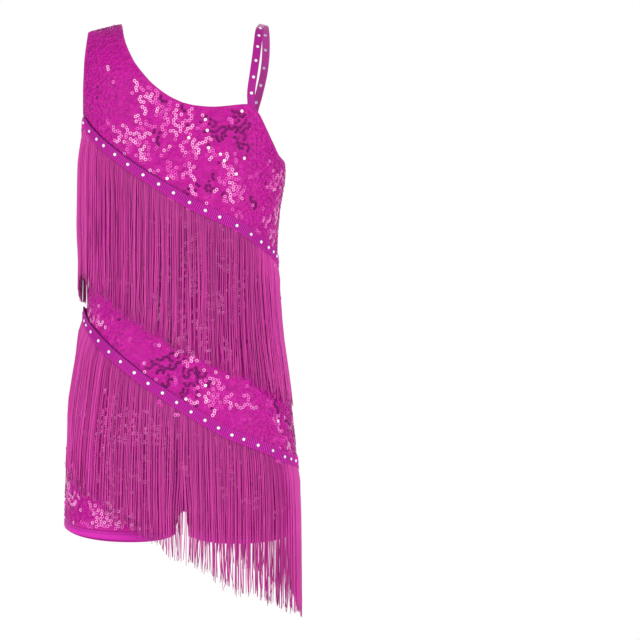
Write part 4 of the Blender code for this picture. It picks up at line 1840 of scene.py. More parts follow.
@dataclass
class Tape:
    """Ribbed tape of one tier, round the body."""

    name: str
    line: TapeLine
    finishes: Finishes
    rib: float = 2.15
    samples: int = 6
    rib_height: float = 0.4
    # Painted shade: tone rises from the grooves, painted dark, to the crests; edge and shaded place a
    # painted shadow along the top edge, across the tape and over the way round where it fades out.
    crest: tuple[float, float] = (0.3, 0.9)
    edge: tuple[float, float] = (0.85, 0.95)
    plain_tone: float = 0.6
    shaded: tuple[float, float] = (0.32, 0.62)
    # Round the section: place across (-1 to 1), share of the thickness, share of the ribs' relief.
    section: Table = (
        (1, 0.55, 0), (0.97, 1, 0.35), (0.72, 1, 1), (0.44, 1, 1), (0.15, 1, 1), (-0.15, 1, 1),
        (-0.44, 1, 1), (-0.72, 1, 1), (-0.97, 1, 0.35), (-1, 0.55, 0), (-0.9, 0, 0), (0.9, 0, 0),
    )  # fmt: skip

    def build(self) -> Piece:
        """Build the tape as one closed ring.

        Returns:
            The tape.
        """
        total = self.line.run[1][-1]
        ribs = int(round(total / self.rib))
        length = (np.arange(ribs * self.samples) / (ribs * self.samples) * total)[:, None]
        across, shape, ribbed = np.array(self.section).T[:, None]
        ways = self.line.way_at(length)
        square = across * self.line.width / 2 * self.line.slope(ways)
        phase = (length + square) / (total / ribs)
        crest = 0.5 + 0.5 * np.cos(2 * math.pi * phase)
        lift = self.line.thick * shape + (crest - 0.5) * self.rib_height * ribbed
        points = self.line.place(ways, across, lift)
        rows, cols = points.shape[:2]
        # Painted shade in the grooves, and a painted shadow along the top edge on the front's right part.
        edge = smooth_step(across, *self.edge) * (1 - smooth_step(ways, *self.shaded))
        tone = np.where(ribbed > 0.5, smooth_step(crest, *self.crest), self.plain_tone) * (1 - edge)
        uv = np.stack(np.broadcast_arrays(length, across * self.line.width / 2), -1).reshape(-1, 2)
        return add_mesh(
            self.name,
            points.reshape(-1, 3),
            [grid_quads(rows, cols, wrap_rows=True, wrap_cols=True)],
            [self.finishes.tape],
            uv=uv * MM,
            tone=tone.ravel(),
        )


@dataclass
class Threads:
    """Chainette threads of one tier, hanging from the tape's lower edge."""

    tier: str
    line: TapeLine
    finishes: Finishes
    seed: int
    below: TapeLine | None
    outer: int
    inner: int
    # Way round the body, shortening and reach of the part that is cut shorter.
    trim: tuple[float, float, float]
    # How much more the threads stand off high up and low down, at the right side, then at the left.
    side_gain: tuple[float, float, float, float]
    drop: float = 152.0
    ragged: float = 4.0
    clearance: float = 12.0
    radius: float = 0.53
    points: int = 14
    sides: int = 3
    near: float = 1.5
    step_out: float = 1.3
    swing: float = 1.3
    bundle: float = 12.0
    uneven: tuple[float, float] = (0.2, 0.4)
    # Drift of single threads high up and low down, then of bundles low down and halfway.
    single_drift: tuple[float, float] = (0.42, 0.65)
    bundle_drift: tuple[float, float] = (1.1, 0.7)
    # Height, and least and most half waves in a fall, of each wave of the threads.
    waves: Table = ((0.34, 1.5, 3.5), (0.16, 5.0, 9.0))
    hook: tuple[float, float] = (2.0, 0.3)
    leg_gaps: tuple[float, float] = (0.502, 1.498)
    parting: float = 4.2
    parted_from: tuple[float, float] = (445.0, 495.0)
    free_from: tuple[float, float] = (512.0, 530.0)
    # Painted shade of the threads: rims darken their sides and backs, less where they hang free; the inner
    # layer is painted dark as if shaded by the outer one, and lighter where it hangs free; outer threads are
    # darker where they hang free.
    rims: tuple[float, float] = (0.60, 0.85)
    inner_painted_shade: tuple[float, float] = (0.0, 0.36)
    outer_shade: tuple[float, float] = (0.84, 0.15)
    free_inner: tuple[float, float] = (0.1, 0.5)
    free_outer: float = -0.24

    def sway(self, rng: Draws, t: Array, length: Array) -> Array:
        """Work out how far each thread drifts sideways.

        Args:
            rng: Draws the drift.
            t: Share of the fall, 0 to 1.
            length: Length along the tape of each thread.

        Returns:
            The drift in millimetres, a row a thread.
        """
        count = len(length)
        slow = rng.normal(0, 1.0, (int(length.max() / self.bundle) + 3, 2))
        at = length / self.bundle
        drift = np.stack([np.interp(at, np.arange(len(slow)), slow[:, c]) for c in (0, 1)], -1)
        high, low = self.single_drift
        shift = rng.normal(0, high, (count, 1)) * smooth_step(t, 0.0, 0.3)
        shift = shift + rng.normal(0, low, (count, 1)) * t**2.5
        low, halfway = self.bundle_drift
        shift = shift + drift[:, :1] * low * t**1.4 + drift[:, 1:] * halfway * np.sin(math.pi * t)
        for height, least, most in self.waves:
            phase, rate = rng.uniform(0, 2 * math.pi, (count, 1)), rng.uniform(least, most, (count, 1))
            wave = np.sin(rate * math.pi * t + phase)
            shift = shift + rng.normal(0, height, (count, 1)) * wave * t**0.5
        bent, how_many = self.hook
        hook = rng.normal(0, bent, (count, 1)) * (rng.random((count, 1)) < how_many)
        return shift + hook * smooth_step(t, 0.86, 1.0)

    def parted(self, way: Array, level: Array) -> Array:
        """Work out the drift away from the gap between the legs, in front and behind.

        Args:
            way: Way round the body of each thread.
            level: Height of each of its points.

        Returns:
            The drift in millimetres, a row a thread.
        """
        shift = np.zeros(np.shape(level))
        for gap in self.leg_gaps:
            beside = (way - gap)[:, None] * FORM.girth(level)
            shift = shift + self.parting * np.tanh(beside / 3.5) * np.exp(-((beside / 11) ** 2))
        return shift * smooth_step(-level, *self.parted_from)

    def tips(self, rng: Draws, way: Array, middle: Array) -> Array:
        """Cut the threads: ragged, shorter at the trim, and clear of the tape below.

        Args:
            rng: Draws the raggedness.
            way: Way round the body of each thread.
            middle: Height of the tape's middle there.

        Returns:
            Height of each thread's end.
        """
        at, short, reach = self.trim
        tip = middle - self.drop + rng.normal(0, self.ragged * 0.55, len(way))
        uneven = self.ragged * 0.6 * np.sin(way * 49) * np.cos(way * 13)
        tip += short * np.exp(-(((way - at) / reach) ** 2)) + uneven
        if self.below is not None:
            tip = np.maximum(tip, self.below.middle(way) + self.clearance + rng.uniform(0, 2.5, len(way)))
        return tip

    def stand_off(self, rng: Draws, t: Array, way: Array, inner: Array) -> Array:
        """Work out how far the threads stand off the tape's inner face.

        Args:
            rng: Draws the differences between threads.
            t: Share of the fall, 0 to 1.
            way: Way round the body of each thread.
            inner: Whether each thread is of the inner layer.

        Returns:
            Millimetres outwards, a row a thread.
        """
        count = len(way)
        layer = np.where(inner, 0.0, self.step_out) + rng.uniform(-0.25, 0.35, count)
        out = self.near + layer[:, None] * smooth_step(t, 0.0, 0.12)
        out = out - 0.9 * (1 - smooth_step(t, 0.0, 0.08))
        out = out + self.swing * t * rng.uniform(0.4, 1.1, (count, 1))
        out = out + self.line.flared(way)[:, None] * (1 - smooth_step(t, 0.04, 0.3))
        gain = 0.0
        sides = ((np.minimum(way, 2 - way), *self.side_gain[:2]), (way - 1, *self.side_gain[2:]))
        for beside, high, low in sides:
            eased = high + (low - high) * smooth_step(t, 0.55, 0.85)
            gain = gain + np.exp(-((beside / 0.13) ** 2))[:, None] * eased
        return np.maximum(out * (1 + gain * smooth_step(t, 0.0, 0.2)), 0.7)

    def thickness(self, rng: Draws, t: Array, count: int) -> Array:
        """Work out the threads' radius, thinner at the end.

        Args:
            rng: Draws the differences between threads.
            t: Share of the fall, 0 to 1.
            count: How many threads.

        Returns:
            Radius in millimetres, a row a thread.
        """
        thick = self.radius * rng.uniform(0.78, 1.1, (count, 1)) * (1 - 0.35 * smooth_step(t, 0.93, 1.0))
        return thick * (1 + 0.1 * np.sin(t * 40 + rng.uniform(0, 6, (count, 1))))

    def shades(self, rng: Draws, t: Array, free: Array, inner: Array) -> Array:
        """Shade the threads: the inner ones painted dark as shade, the outer ones light, and evener where
        they hang free.

        Args:
            rng: Draws the shades.
            t: Share of the fall, 0 to 1.
            free: How free of the cloth each point hangs, 0 to 1.
            inner: Whether each thread is of the inner layer.

        Returns:
            The shade, a row a thread.
        """
        count = len(inner)
        shade = np.where(inner, rng.uniform(*self.inner_painted_shade, count), rng.normal(*self.outer_shade, count))
        freed = np.where(inner, rng.uniform(*self.free_inner, count), self.free_outer)
        shade = shade[:, None] + free * freed[:, None]
        return shade + 0.05 * np.sin(9 * t + rng.uniform(0, 6, (count, 1)))

    def build(self) -> list[Piece]:
        """Build the threads, over the front and over the back.

        Returns:
            The two pieces.
        """
        rng = np.random.default_rng(self.seed)
        layers = zip((self.outer, self.inner), self.uneven)
        share = [(np.arange(n) + 0.5 + rng.uniform(-loose, loose, n)) / n for n, loose in layers]
        count = self.outer + self.inner
        inner = np.arange(count) >= self.outer
        length = np.concatenate(share) * self.line.run[1][-1]
        way = self.line.way_at(length)
        middle, half = self.line.middle(way), self.line.half(way)
        root, tip = middle - half * 0.55, self.tips(rng, way, middle)
        t = np.linspace(0.0, 1.0, self.points)[None, :] ** 1.2
        level = root[:, None] + (tip - root)[:, None] * t
        side_way = way[:, None] + (self.sway(rng, t, length) + self.parted(way, level)) / FORM.girth(level)
        out = self.stand_off(rng, t, way, inner)
        hung_from = (middle + half)[:, None]
        centre = FORM.curtain(side_way, level, hung_from, out)
        down = unit(np.gradient(centre, axis=1))
        outward = FORM.curtain(side_way, level, hung_from, out + 1.0) - centre
        across = unit(np.cross(down, outward))
        outward = np.cross(across, down)
        turn = rng.uniform(-0.4, 0.4, (count, 1)) + t * rng.uniform(-0.5, 0.5, (count, 1))
        thick = self.thickness(rng, t, count)
        free = smooth_step(-level, *self.free_from)
        shade = self.shades(rng, t, free, inner)
        # Painted shade round each thread: the corner that faces out keeps the thread's tone, its sides and
        # back are painted darker as if lit from the front.
        rim = self.rims[0] + (self.rims[1] - self.rims[0]) * free
        corners, tones = [], []
        for corner in range(self.sides):
            angle = turn + math.pi / 2 + corner * 2 * math.pi / self.sides
            side, away = np.cos(angle)[..., None], np.sin(angle)[..., None]
            corners.append(centre + (across * side + outward * away) * thick[..., None])
            tones.append(shade * (rim + (1 - rim) * np.clip(np.sin(angle), 0, 1)))
        points, tone = np.stack(corners, 2), np.clip(np.stack(tones, 2), 0, 1)
        over_front = way % 2.0 <= 1.0
        fallen = root[:, None] - level
        pieces = (("front", over_front), ("back", ~over_front))
        return [self.piece(name, points[part], tone[part], fallen[part]) for name, part in pieces]

    def piece(self, name: str, points: Array, tone: Array, fallen: Array) -> Piece:
        """Make one piece of some of the threads.

        Args:
            name: Which side they hang on.
            points: Points by thread, place along it and corner.
            tone: Shade of each point.
            fallen: Length fallen at each place along.

        Returns:
            The piece.
        """
        ring = np.arange(self.sides)
        ends = np.stack([ring, ring[::-1] + (self.points - 1) * self.sides])
        first = (np.arange(len(points)) * self.points * self.sides)[:, None, None]
        shell = (grid_quads(self.points, self.sides, wrap_cols=True), ends)
        along = np.broadcast_to(fallen[..., None], points.shape[:3])
        around = np.broadcast_to(ring * 0.9, points.shape[:3]) + 7.0 * np.arange(len(points))[:, None, None]
        return add_mesh(
            f"fringe_{self.tier}_threads_{name}",
            points.reshape(-1, 3),
            [(faces[None] + first).reshape(-1, faces.shape[1]) for faces in shell],
            [self.finishes.chainette],
            uv=np.stack([around, along], -1).reshape(-1, 2) * MM,
            tone=tone.ravel(),
        )


@dataclass
class Tier:
    """One tier of fringe: its tape and its threads."""

    threads: Threads

    def build(self) -> Piece:
        """Build and settle the tier.

        Returns:
            The tape.
        """
        line, node = self.threads.line, f"fringe_{self.threads.tier}"
        tape = Tape(f"{node}_tape", line, self.threads.finishes).build()
        threads = self.threads.build()
        for piece in (tape, *threads):
            settle(piece, Slot.FRINGE, node)
        length = float(line.run[1][-1]) * MM
        return tape


STRAP_LINE = (
    ("front", 67.4, -86.6), ("front", 67.1, -71), ("front", 69.2, -55), ("front", 71.6, -38.8),
    ("front", 73.6, -24.5), ("front", 76.2, -11), ("back", 81.2, -6), ("back", 83.3, -22),
    ("back", 81.7, -45), ("back", 76.8, -68), ("back", 72.4, -84), ("back", 70.3, -98.6),
)
BACK_STRAP_LINE = (
    ("back", -46.4, -136.4), ("back", -16, -126), ("back", 18, -115.4), ("back", 46, -106.4),
    ("back", 62, -101.2), ("back", 69.6, -99.4), ("back", 75, -103.6), ("back", 84, -118),
    ("back", 93.4, -134),
)
BACK_STRAP_SIDE = (
    (22, -144.5), (11, -153.5), (5.2, -166), (4.05, -180), (4.05, -200), (4.05, -218), (4.05, -236.1),
)


@dataclass
class Straps:
    """The thin shoulder strap and the band across the back, with their stones."""

    finishes: Finishes
    strap_width: float = 8.4
    band_width: float = 7.6
    thick: float = 1.5
    crown: float = 0.22
    foot_edge: tuple[float, float, float] = (11.1, 0.0, -7.5)
    cut_steps: int = 8
    rise: float = 4.7
    risen: tuple[float, float] = (-34.0, -6.0)
    tuck: float = 0.7
    tucked: tuple[int, int] = (138, 146)
    steps: tuple[int, int] = (150, 220)
    # Painted shade of the shoulder strap and the back band: their satin darkened evenly, the strap more as
    # it catches more light.
    shades: tuple[float, float] = (0.48, 0.12)
    facing_in: float = -0.7

    def shoulder(self) -> Ribbon:
        """Frames of the shoulder strap, its foot cut along the neckline's corner.

        Returns:
            The frames.
        """
        ribbon = Ribbon.on_body(STRAP_LINE, self.steps[0])
        ribbon.centre[:, 2] += self.rise * smooth_step(ribbon.centre[:, 2], *self.risen)
        tuck = self.tuck * smooth_step(np.arange(self.steps[0]), *self.tucked)
        ribbon.centre -= ribbon.out * tuck[:, None]
        slope = np.array(self.foot_edge)
        slope = slope - ribbon.out[0] * slope.dot(ribbon.out[0])
        slope = slope / slope.dot(ribbon.across[0])
        for step in range(self.cut_steps):
            share = 1 - step / self.cut_steps
            ribbon.across[step] = ribbon.across[step] * (1 - share) + slope * share
        return ribbon

    def band(self) -> Ribbon:
        """Frames of the band across the back and down the left side.

        Returns:
            The frames.
        """
        extra = []
        for y, height in BACK_STRAP_SIDE:
            wide, middle, _, deep, power = (float(v) for v in FORM.section(height))
            x = middle + wide * (1 - (y / deep) ** power) ** (1 / power)
            share = FORM.share_of(x, height)
            extra.append(np.concatenate([FORM.torso(share, 1, height), FORM.normal(share, 1, height)]))
        return Ribbon.on_body(BACK_STRAP_LINE, self.steps[1], np.array(extra))

    def build(self) -> dict[str, Ribbon]:
        """Build both, and return their frames by name.

        Returns:
            Frames of each.
        """
        ribbons = {"shoulder_strap": self.shoulder(), "back_strap": self.band()}
        finishes = [self.finishes.satin, self.finishes.lining]
        widths = (self.strap_width, self.band_width)
        for (node, ribbon), width, shade in zip(ribbons.items(), widths, self.shades):
            points, faces, uv = ribbon.sweep(band_profile(width, self.thick, self.crown), False)
            tone = np.full(len(points), shade)
            obj = add_mesh(f"{node}_satin", points, faces, finishes, uv=uv, tone=tone)
            self.line_inside(obj, ribbon)
            settle(obj, Slot.SATIN, node)
        return ribbons

    def line_inside(self, obj: Piece, ribbon: Ribbon) -> None:
        """Give the faces that look at the wearer the plain finish.

        Args:
            obj: The strap.
            ribbon: Its frames.
        """
        cols = len(obj.data.vertices) // len(ribbon.centre)
        for flat in obj.data.polygons:
            if len(flat.vertices) == 4:
                row = min(flat.vertices) // cols
                if flat.normal.dot(Vector(ribbon.out[min(row, len(ribbon.out) - 1)])) < self.facing_in:
                    flat.material_index = 1


@dataclass
class LegBinding:
    """Satin binding round one leg opening."""

    node: str
    side: int
    finishes: Finishes
    steps: int = 170
    thick: float = 2.6
    cloth_wall: float = 1.5
    round_steps: int = 44
    rounding: tuple[float, float] = (0.45, 0.6)
    fold_at: float = 2.4
    fold_width: float = 0.55
    fold_depth: float = 0.3
    # Painted shade along the fold line, and a painted shadow along the binding's top edge where it meets the
    # cloth.
    fold_shade: float = 0.45
    painted_top_shadow: tuple[float, float] = (0.7, 0.1)
    puckers: tuple[float, float] = (0.10, 0.07)
    folded_share: float = 1.2

    def ring(self) -> Ribbon:
        """Frames round the opening.

        Returns:
            The frames.
        """
        way = 2 * np.arange(self.steps) / self.steps
        front = way <= 1
        turn = np.where(front, way, 2 - way)
        share = turn / 2 if self.side < 0 else 1 - turn / 2
        points = np.zeros((self.steps, 3))
        for face, chosen in ((-1, front), (1, ~front)):
            level = FORM.hem(share, face) + BINDING_TALL / 2
            points[chosen] = FORM.cloth(share, face, level, np.full(self.steps, float(self.side)))[chosen]
        along = np.roll(points, -1, axis=0) - np.roll(points, 1, axis=0)
        out = unit(np.stack([along[:, 1], -along[:, 0], np.zeros(self.steps)], -1))
        out *= np.where((out * (points - points.mean(axis=0))).sum(axis=1) < 0, -1.0, 1.0)[:, None]
        up = np.tile((0.0, 0.0, 1.0), (self.steps, 1))
        return Ribbon(points - out * self.cloth_wall / 2, up, out)

    def build(self) -> Ribbon:
        """Build it, and return its frames.

        Returns:
            The frames.
        """
        ribbon = self.ring()
        tall, deep = BINDING_TALL / 2, self.thick / 2
        turn = np.linspace(0, 2 * math.pi, self.round_steps, endpoint=False)
        halves = zip((np.cos(turn), np.sin(turn)), self.rounding, (tall, deep))
        profile = np.stack([signed_power(wave, power) * half for wave, power, half in halves], -1)
        beside = (profile[:, 0] - tall + self.fold_at) / self.fold_width
        fold = np.exp(-(beside**2)) * (profile[:, 1] > 0)
        profile[:, 1] -= self.fold_depth * fold
        points, faces, uv = ribbon.sweep(profile, True)
        shape = points.reshape(self.steps, len(profile), 3)
        k = np.arange(self.steps)
        fine, slow = self.puckers
        pucker = fine * np.sin(k * 1.37) + slow * np.sin(k * 0.71 + 1.0) * np.cos(k * 0.19)
        outer = np.clip(profile[:, 1], 0, None) / deep
        shape += ribbon.out[:, None] * (pucker[:, None] * outer[None])[..., None]
        # Painted shadow along the top edge and painted shade along the fold line.
        painted_top_shadow = smooth_step(profile[:, 0], tall - self.painted_top_shadow[0], tall - self.painted_top_shadow[1])
        tone = np.tile(np.clip(self.fold_shade * fold + painted_top_shadow, 0, 1), self.steps)
        finishes = [self.finishes.satin]
        obj = add_mesh(f"{self.node}_satin", shape.reshape(-1, 3), faces, finishes, uv=uv, tone=tone)
        settle(obj, Slot.SATIN, self.node)
        return ribbon


@dataclass
class Stones:
    """Stones along the tapes and the straps, and the settings' backs inside the shoulder strap."""

    finishes: Finishes
    ribbons: dict[str, Ribbon]
    upper_front: tuple[float, ...] = (
        -100.3, -94.2, -86.9, -79.9, -68.7, -55.8, -40.7, -25.2, -10.5, 5.4, 21.1, 35.4, 52.5, 66.6,
        76.8, 84.2, 89.1, 92.5,
    )
    lower_front: tuple[float, ...] = (
        -99.5, -97.5, -92.8, -85.1, -74.6, -63.0, -49.4, -35.6, -21.4, -7.3, 7.0, 20.8, 34.1, 47.5,
        59.2, 73.5, 88.3, 100.2, 106.6, 111.4,
    )
    strap_front: tuple[float, ...] = (-72.0, -56.0, -39.5, -25.4, -14.0, -6.4)
    strap_back: tuple[float, ...] = (-9.0, -23.8, -42.1, -60.0, -77.6)
    back_step: float = 16.2
    band_step: float = 16.9
    band_ends: tuple[float, float] = (9.0, 3.0)
    jitter: float = 0.4
    uneven: float = 0.05
    tape_lift: float = 0.1
    strap_lift: float = 0.2
    claw_lift: float = -1.48
    # Painted shade: each stone is darker towards its girdle, down to this tone.
    painted_girdle_shade: float = 0.3
    tones: tuple[float, float] = (0.85, 1.1)
    seed: int = 31

    def on_tape(self, line: TapeLine, front: Sequence[float], rng: Draws) -> tuple[Array, ...]:
        """Places, ways along and ways out of the stones of one tape.

        Args:
            line: The tape.
            front: Distance from the middle of each stone on the front.
            rng: Draws the small unevenness of hand setting on the back.

        Returns:
            Three arrays, one row a stone.
        """
        ways = np.linspace(0.0, 1.0, 801)
        over = line.place(ways, 0.0, line.thick)[:, 0]
        length = np.interp(np.interp(front, over, ways), *line.run)
        total = line.run[1][-1]
        left = length[0] + total - length[-1]
        count = int(round(left / self.back_step)) - 1
        rest = length[-1] + (np.arange(count) + 1) * left / (count + 1)
        rest = rest + rng.uniform(-1, 1, count) * self.jitter
        way = line.way_at(np.concatenate([length, rest]) % total)
        across = rng.uniform(-self.uneven, self.uneven, len(way))
        centre, out = line.face(way, across, self.tape_lift)
        ahead = line.face(way + 0.003, across, self.tape_lift)[0] - centre
        return centre, ahead, out

    def by_height(self, ribbon: Ribbon) -> Array:
        """Lengths along the shoulder strap of its stones.

        Args:
            ribbon: The strap's frames.

        Returns:
            The lengths, in order.
        """
        lengths, height = length_along(ribbon.centre), ribbon.centre[:, 2]
        top = int(np.argmax(height))
        front = np.interp(self.strap_front, height[: top + 1], lengths[: top + 1])
        back = np.interp(self.strap_back[::-1], height[top:][::-1], lengths[top:][::-1])
        return np.sort(np.concatenate([front, back]))

    def on_ribbon(self, ribbon: Ribbon, wanted: Array, lift: float) -> tuple[Array, ...]:
        """Places, ways along and ways out of stones at lengths along a strap.

        Args:
            ribbon: The strap's frames.
            wanted: Lengths along it.
            lift: Height over its face.

        Returns:
            Three arrays, one row a stone.
        """
        lengths = length_along(ribbon.centre)
        centre = read_along(ribbon.centre, lengths, wanted)
        ahead = read_along(ribbon.centre, lengths, wanted + 1.0) - centre
        out = unit(read_along(ribbon.out, lengths, wanted))
        return centre + out * lift, ahead, out

    def build(self) -> None:
        """Build all stones and settings."""
        rng = np.random.default_rng(self.seed)
        stone = Bench.stone()
        strap, band = self.ribbons["shoulder_strap"], self.ribbons["back_strap"]
        along_strap = self.by_height(strap)
        first, last = self.band_ends
        along_band = np.arange(first, length_along(band.centre)[-1] - last, self.band_step)
        sets = {
            "rhinestones_upper": self.on_tape(UPPER, self.upper_front, rng),
            "rhinestones_lower": self.on_tape(LOWER, self.lower_front, rng),
            "rhinestones_shoulder_strap": self.on_ribbon(strap, along_strap, self.strap_lift),
            "rhinestones_back_strap": self.on_ribbon(band, along_band, self.strap_lift),
        }
        # Painted shade, rising from the girdle to the table.
        height = stone[0][:, 2]
        shade = self.painted_girdle_shade + (1 - self.painted_girdle_shade) * height / height.max()
        for name, (centre, ahead, out) in sets.items():
            points, faces = copies(stone, centre, ahead, out)
            tone = (rng.uniform(*self.tones, (len(centre), 1)) * shade).ravel()
            glass = [self.finishes.stone]
            obj = add_mesh(name, points, faces, glass, tone=tone, smooth=False, face_out=False)
            settle(obj, Slot.STONE)
        centre, ahead, out = self.on_ribbon(strap, along_strap, self.claw_lift)
        points, faces = copies(Bench.claw(), centre, ahead, -out)
        obj = add_mesh("setting_backs", points, faces, [self.finishes.claw], smooth=False, face_out=False)
        settle(obj, Slot.STONE)


@dataclass
class Sewing:
    """Rows of stitches on the bindings, straps and tapes."""

    finishes: Finishes
    ribbons: dict[str, Ribbon]
    rings: dict[str, Ribbon]
    step: float = 3.0
    ahead: float = 0.8
    binding_lift: float = 1.28
    binding_margin: float = 1.1
    strap_lift: float = 0.14
    strap_margin: float = 1.2
    tape_lift: float = 0.1
    tape_rows: tuple[float, float] = (0.86, -0.84)
    tape_places: int = 900

    def row(self, centre: Array, out: Array, closed: bool = False) -> tuple[Array, ...]:
        """Evenly spaced places, ways along and ways out on a run of points.

        Args:
            centre: The points.
            out: Way out at each.
            closed: Whether the run joins its start.

        Returns:
            Three arrays, one row a stitch.
        """
        if closed:
            centre, out = np.vstack([centre, centre[:1]]), np.vstack([out, out[:1]])
        lengths = length_along(centre)
        wanted = np.arange(self.step / 2, lengths[-1] - self.step / 2, self.step)
        places = read_along(centre, lengths, wanted)
        along = read_along(centre, lengths, wanted + self.ahead) - places
        return places, along, unit(read_along(out, lengths, wanted))

    def build(self) -> None:
        """Build the stitches in one piece for the bindings and straps and one for the tapes."""
        stitch = Bench.stitch()
        rows = []
        for ribbon in self.rings.values():
            up = ribbon.across * (BINDING_TALL / 2 - self.binding_margin)
            rows.append(self.row(ribbon.centre + ribbon.out * self.binding_lift + up, ribbon.out, True))
        for name, ribbon in self.ribbons.items():
            width = Straps.strap_width if name == "shoulder_strap" else Straps.band_width
            half = width / 2 - self.strap_margin
            for side in (-half, half):
                places = ribbon.centre + ribbon.out * self.strap_lift + ribbon.across * side
                rows.append(self.row(places, ribbon.out))
        self.make("stitches_trim", stitch, rows)
        rows = []
        for line in (UPPER, LOWER):
            ways = line.way_at(np.linspace(0.0, line.run[1][-1], self.tape_places))
            rows += [self.row(*line.face(ways, across, self.tape_lift)) for across in self.tape_rows]
        self.make("stitches_tapes", stitch, rows)

    def make(self, name: str, stitch: Model, rows: list[tuple[Array, ...]]) -> None:
        """One piece of many stitches.

        Args:
            name: Name of the piece.
            stitch: One stitch.
            rows: Places, ways along and ways out of each row.
        """
        centre, along, out = (np.vstack([row[c] for row in rows]) for c in range(3))
        points, faces = copies(stitch, centre, along, out)
        settle(add_mesh(name, points, faces, [self.finishes.thread], face_out=False), Slot.SATIN)


@dataclass
class Edges:
    """Turned edges of the neckline, armholes and cut-out, and the piping over the cut-out's tape."""

    front: Panel
    back: Panel
    finishes: Finishes
    radius: float = 0.95
    piping: float = 0.8
    sides: int = 8
    # Column of the panel's edge, and its first and last cut line.
    front_runs: tuple[tuple[int, int, int], ...] = ((0, 0, 5), (2, 0, 11))
    back_runs: tuple[tuple[int, int, int], ...] = ((0, 0, 5), (2, 0, 14))
    # Distance from the middle and height of the piping's two ends.
    piping_ends: Table = ((92, -243), (-45, -160))
    piping_lift: float = 1.15
    piping_steps: int = 160

    def build(self) -> None:
        """Build the edges in one piece and the piping in another."""
        up = np.array((0.02, 1.0, 0.03))
        runs = [self.front.edge_run(*run) for run in self.front_runs]
        runs += [self.back.edge_run(*run) for run in self.back_runs]
        points, faces, uv = gather([tube(run, self.radius, self.sides, up) for run in runs])
        edge = add_mesh("turned_edges", points, faces, [self.finishes.ground], uv=uv)
        settle(edge, Slot.SEQUIN)
        ends = (2 - float(FORM.share_of(*end)) for end in self.piping_ends)
        run = UPPER.place(np.linspace(*ends, self.piping_steps), 1.0, self.piping_lift)
        points, faces, uv = tube(run, self.piping, self.sides, up)
        settle(add_mesh("cut_out_piping", points, faces, [self.finishes.satin], uv=uv), Slot.SATIN)


@dataclass(frozen=True)
class Studio:
    """Camera, floor and plain soft light."""

    span: float = 0.640
    distance: float = 6.0
    true_plane: float = 0.035
    sensor: float = 36.0
    shift: float = 0.2125
    height: float = -0.29215
    floor_drop: float = -0.72
    floor_radius: float = 1.6
    surround: float = 0.70
    # Name, place, size, power and tint of each soft light.
    lights: tuple[tuple[str, Place, float, float, Colour], ...] = (
        ("front_soft", (0.0, -3.2, -0.1), 1.3, 16.0, (1.0, 0.98, 1.0)),
        ("left_soft", (-2.4, -2.2, -0.25), 1.5, 34.0, (1.0, 1.0, 1.0)),
        ("right_soft", (2.6, -2.0, -0.25), 1.5, 31.0, (1.0, 1.0, 1.0)),
        ("back_soft", (0.2, 3.2, 0.9), 1.6, 30.0, (1.0, 1.0, 1.0)),
    )

    def light(self, name: str, place: Place, size: float, power: float, tint: Colour) -> None:
        """A square soft light aimed at the garment's middle.

        Args:
            name: Its name.
            place: Where it hangs, in metres.
            size: Its side, in metres.
            power: Its power, in watts.
            tint: Its colour.
        """
        data = bpy.data.lights.new(name, "AREA")
        data.shape, data.size, data.energy, data.color = "SQUARE", size, power, tint
        obj = bpy.data.objects.new(name, data)
        bpy.context.scene.collection.objects.link(obj)
        obj.location = place
        target = Vector((TO_PART[0] * MM, 0.0, self.height))
        obj.rotation_euler = (Vector(place) - target).to_track_quat("Z", "Y").to_euler()

    def build(self, finishes: Finishes) -> None:
        """Set the scene.

        Args:
            finishes: Holds the floor's material.
        """
        self.camera()
        self.floor(finishes)
        for light in self.lights:
            self.light(*light)
        self.world()
        bpy.context.scene.view_settings.view_transform = "Standard"

    def camera(self) -> None:
        """Stand the camera in front of the garment."""
        scene = bpy.context.scene
        camera = bpy.data.cameras.new("camera")
        camera.sensor_width = self.sensor
        camera.lens = self.sensor * (self.distance - self.true_plane) / self.span
        camera.shift_x = self.shift
        camera.clip_end = 50.0
        eye = bpy.data.objects.new("camera", camera)
        scene.collection.objects.link(eye)
        eye.location = (TO_PART[0] * MM, -self.distance, self.height)
        eye.rotation_euler = (math.pi / 2, 0.0, 0.0)
        scene.camera = eye

    def floor(self, finishes: Finishes) -> None:
        """Lay the floor, well below the garment.

        Args:
            finishes: Holds the floor's material.
        """
        bpy.ops.object.select_all(action="DESELECT")
        place = (TO_PART[0] * MM, 0.0, self.floor_drop - 0.01)
        bpy.ops.mesh.primitive_cylinder_add(
            vertices=96, radius=self.floor_radius, depth=0.02, location=place
        )
        floor = bpy.context.object
        floor.name = "floor"
        floor.data.materials.append(finishes.floor)

    def world(self) -> None:
        """Surround it with even light, and with plain white where the camera looks."""
        world = bpy.data.worlds.new("studio")
        world.use_nodes = True
        bpy.context.scene.world = world
        tree = world.node_tree
        ground = tree.nodes["Background"]
        seen = tree.nodes.new("ShaderNodeBackground")
        ground.inputs["Color"].default_value = (1.0, 1.0, 1.0, 1.0)
        ground.inputs["Strength"].default_value = self.surround
        seen.inputs["Color"].default_value = (1.0, 1.0, 1.0, 1.0)
        path = tree.nodes.new("ShaderNodeLightPath")
        mix = tree.nodes.new("ShaderNodeMixShader")
        tree.links.new(path.outputs["Is Camera Ray"], mix.inputs[0])
        tree.links.new(ground.outputs[0], mix.inputs[1])
        tree.links.new(seen.outputs[0], mix.inputs[2])
        tree.links.new(mix.outputs[0], tree.nodes["World Output"].inputs["Surface"])
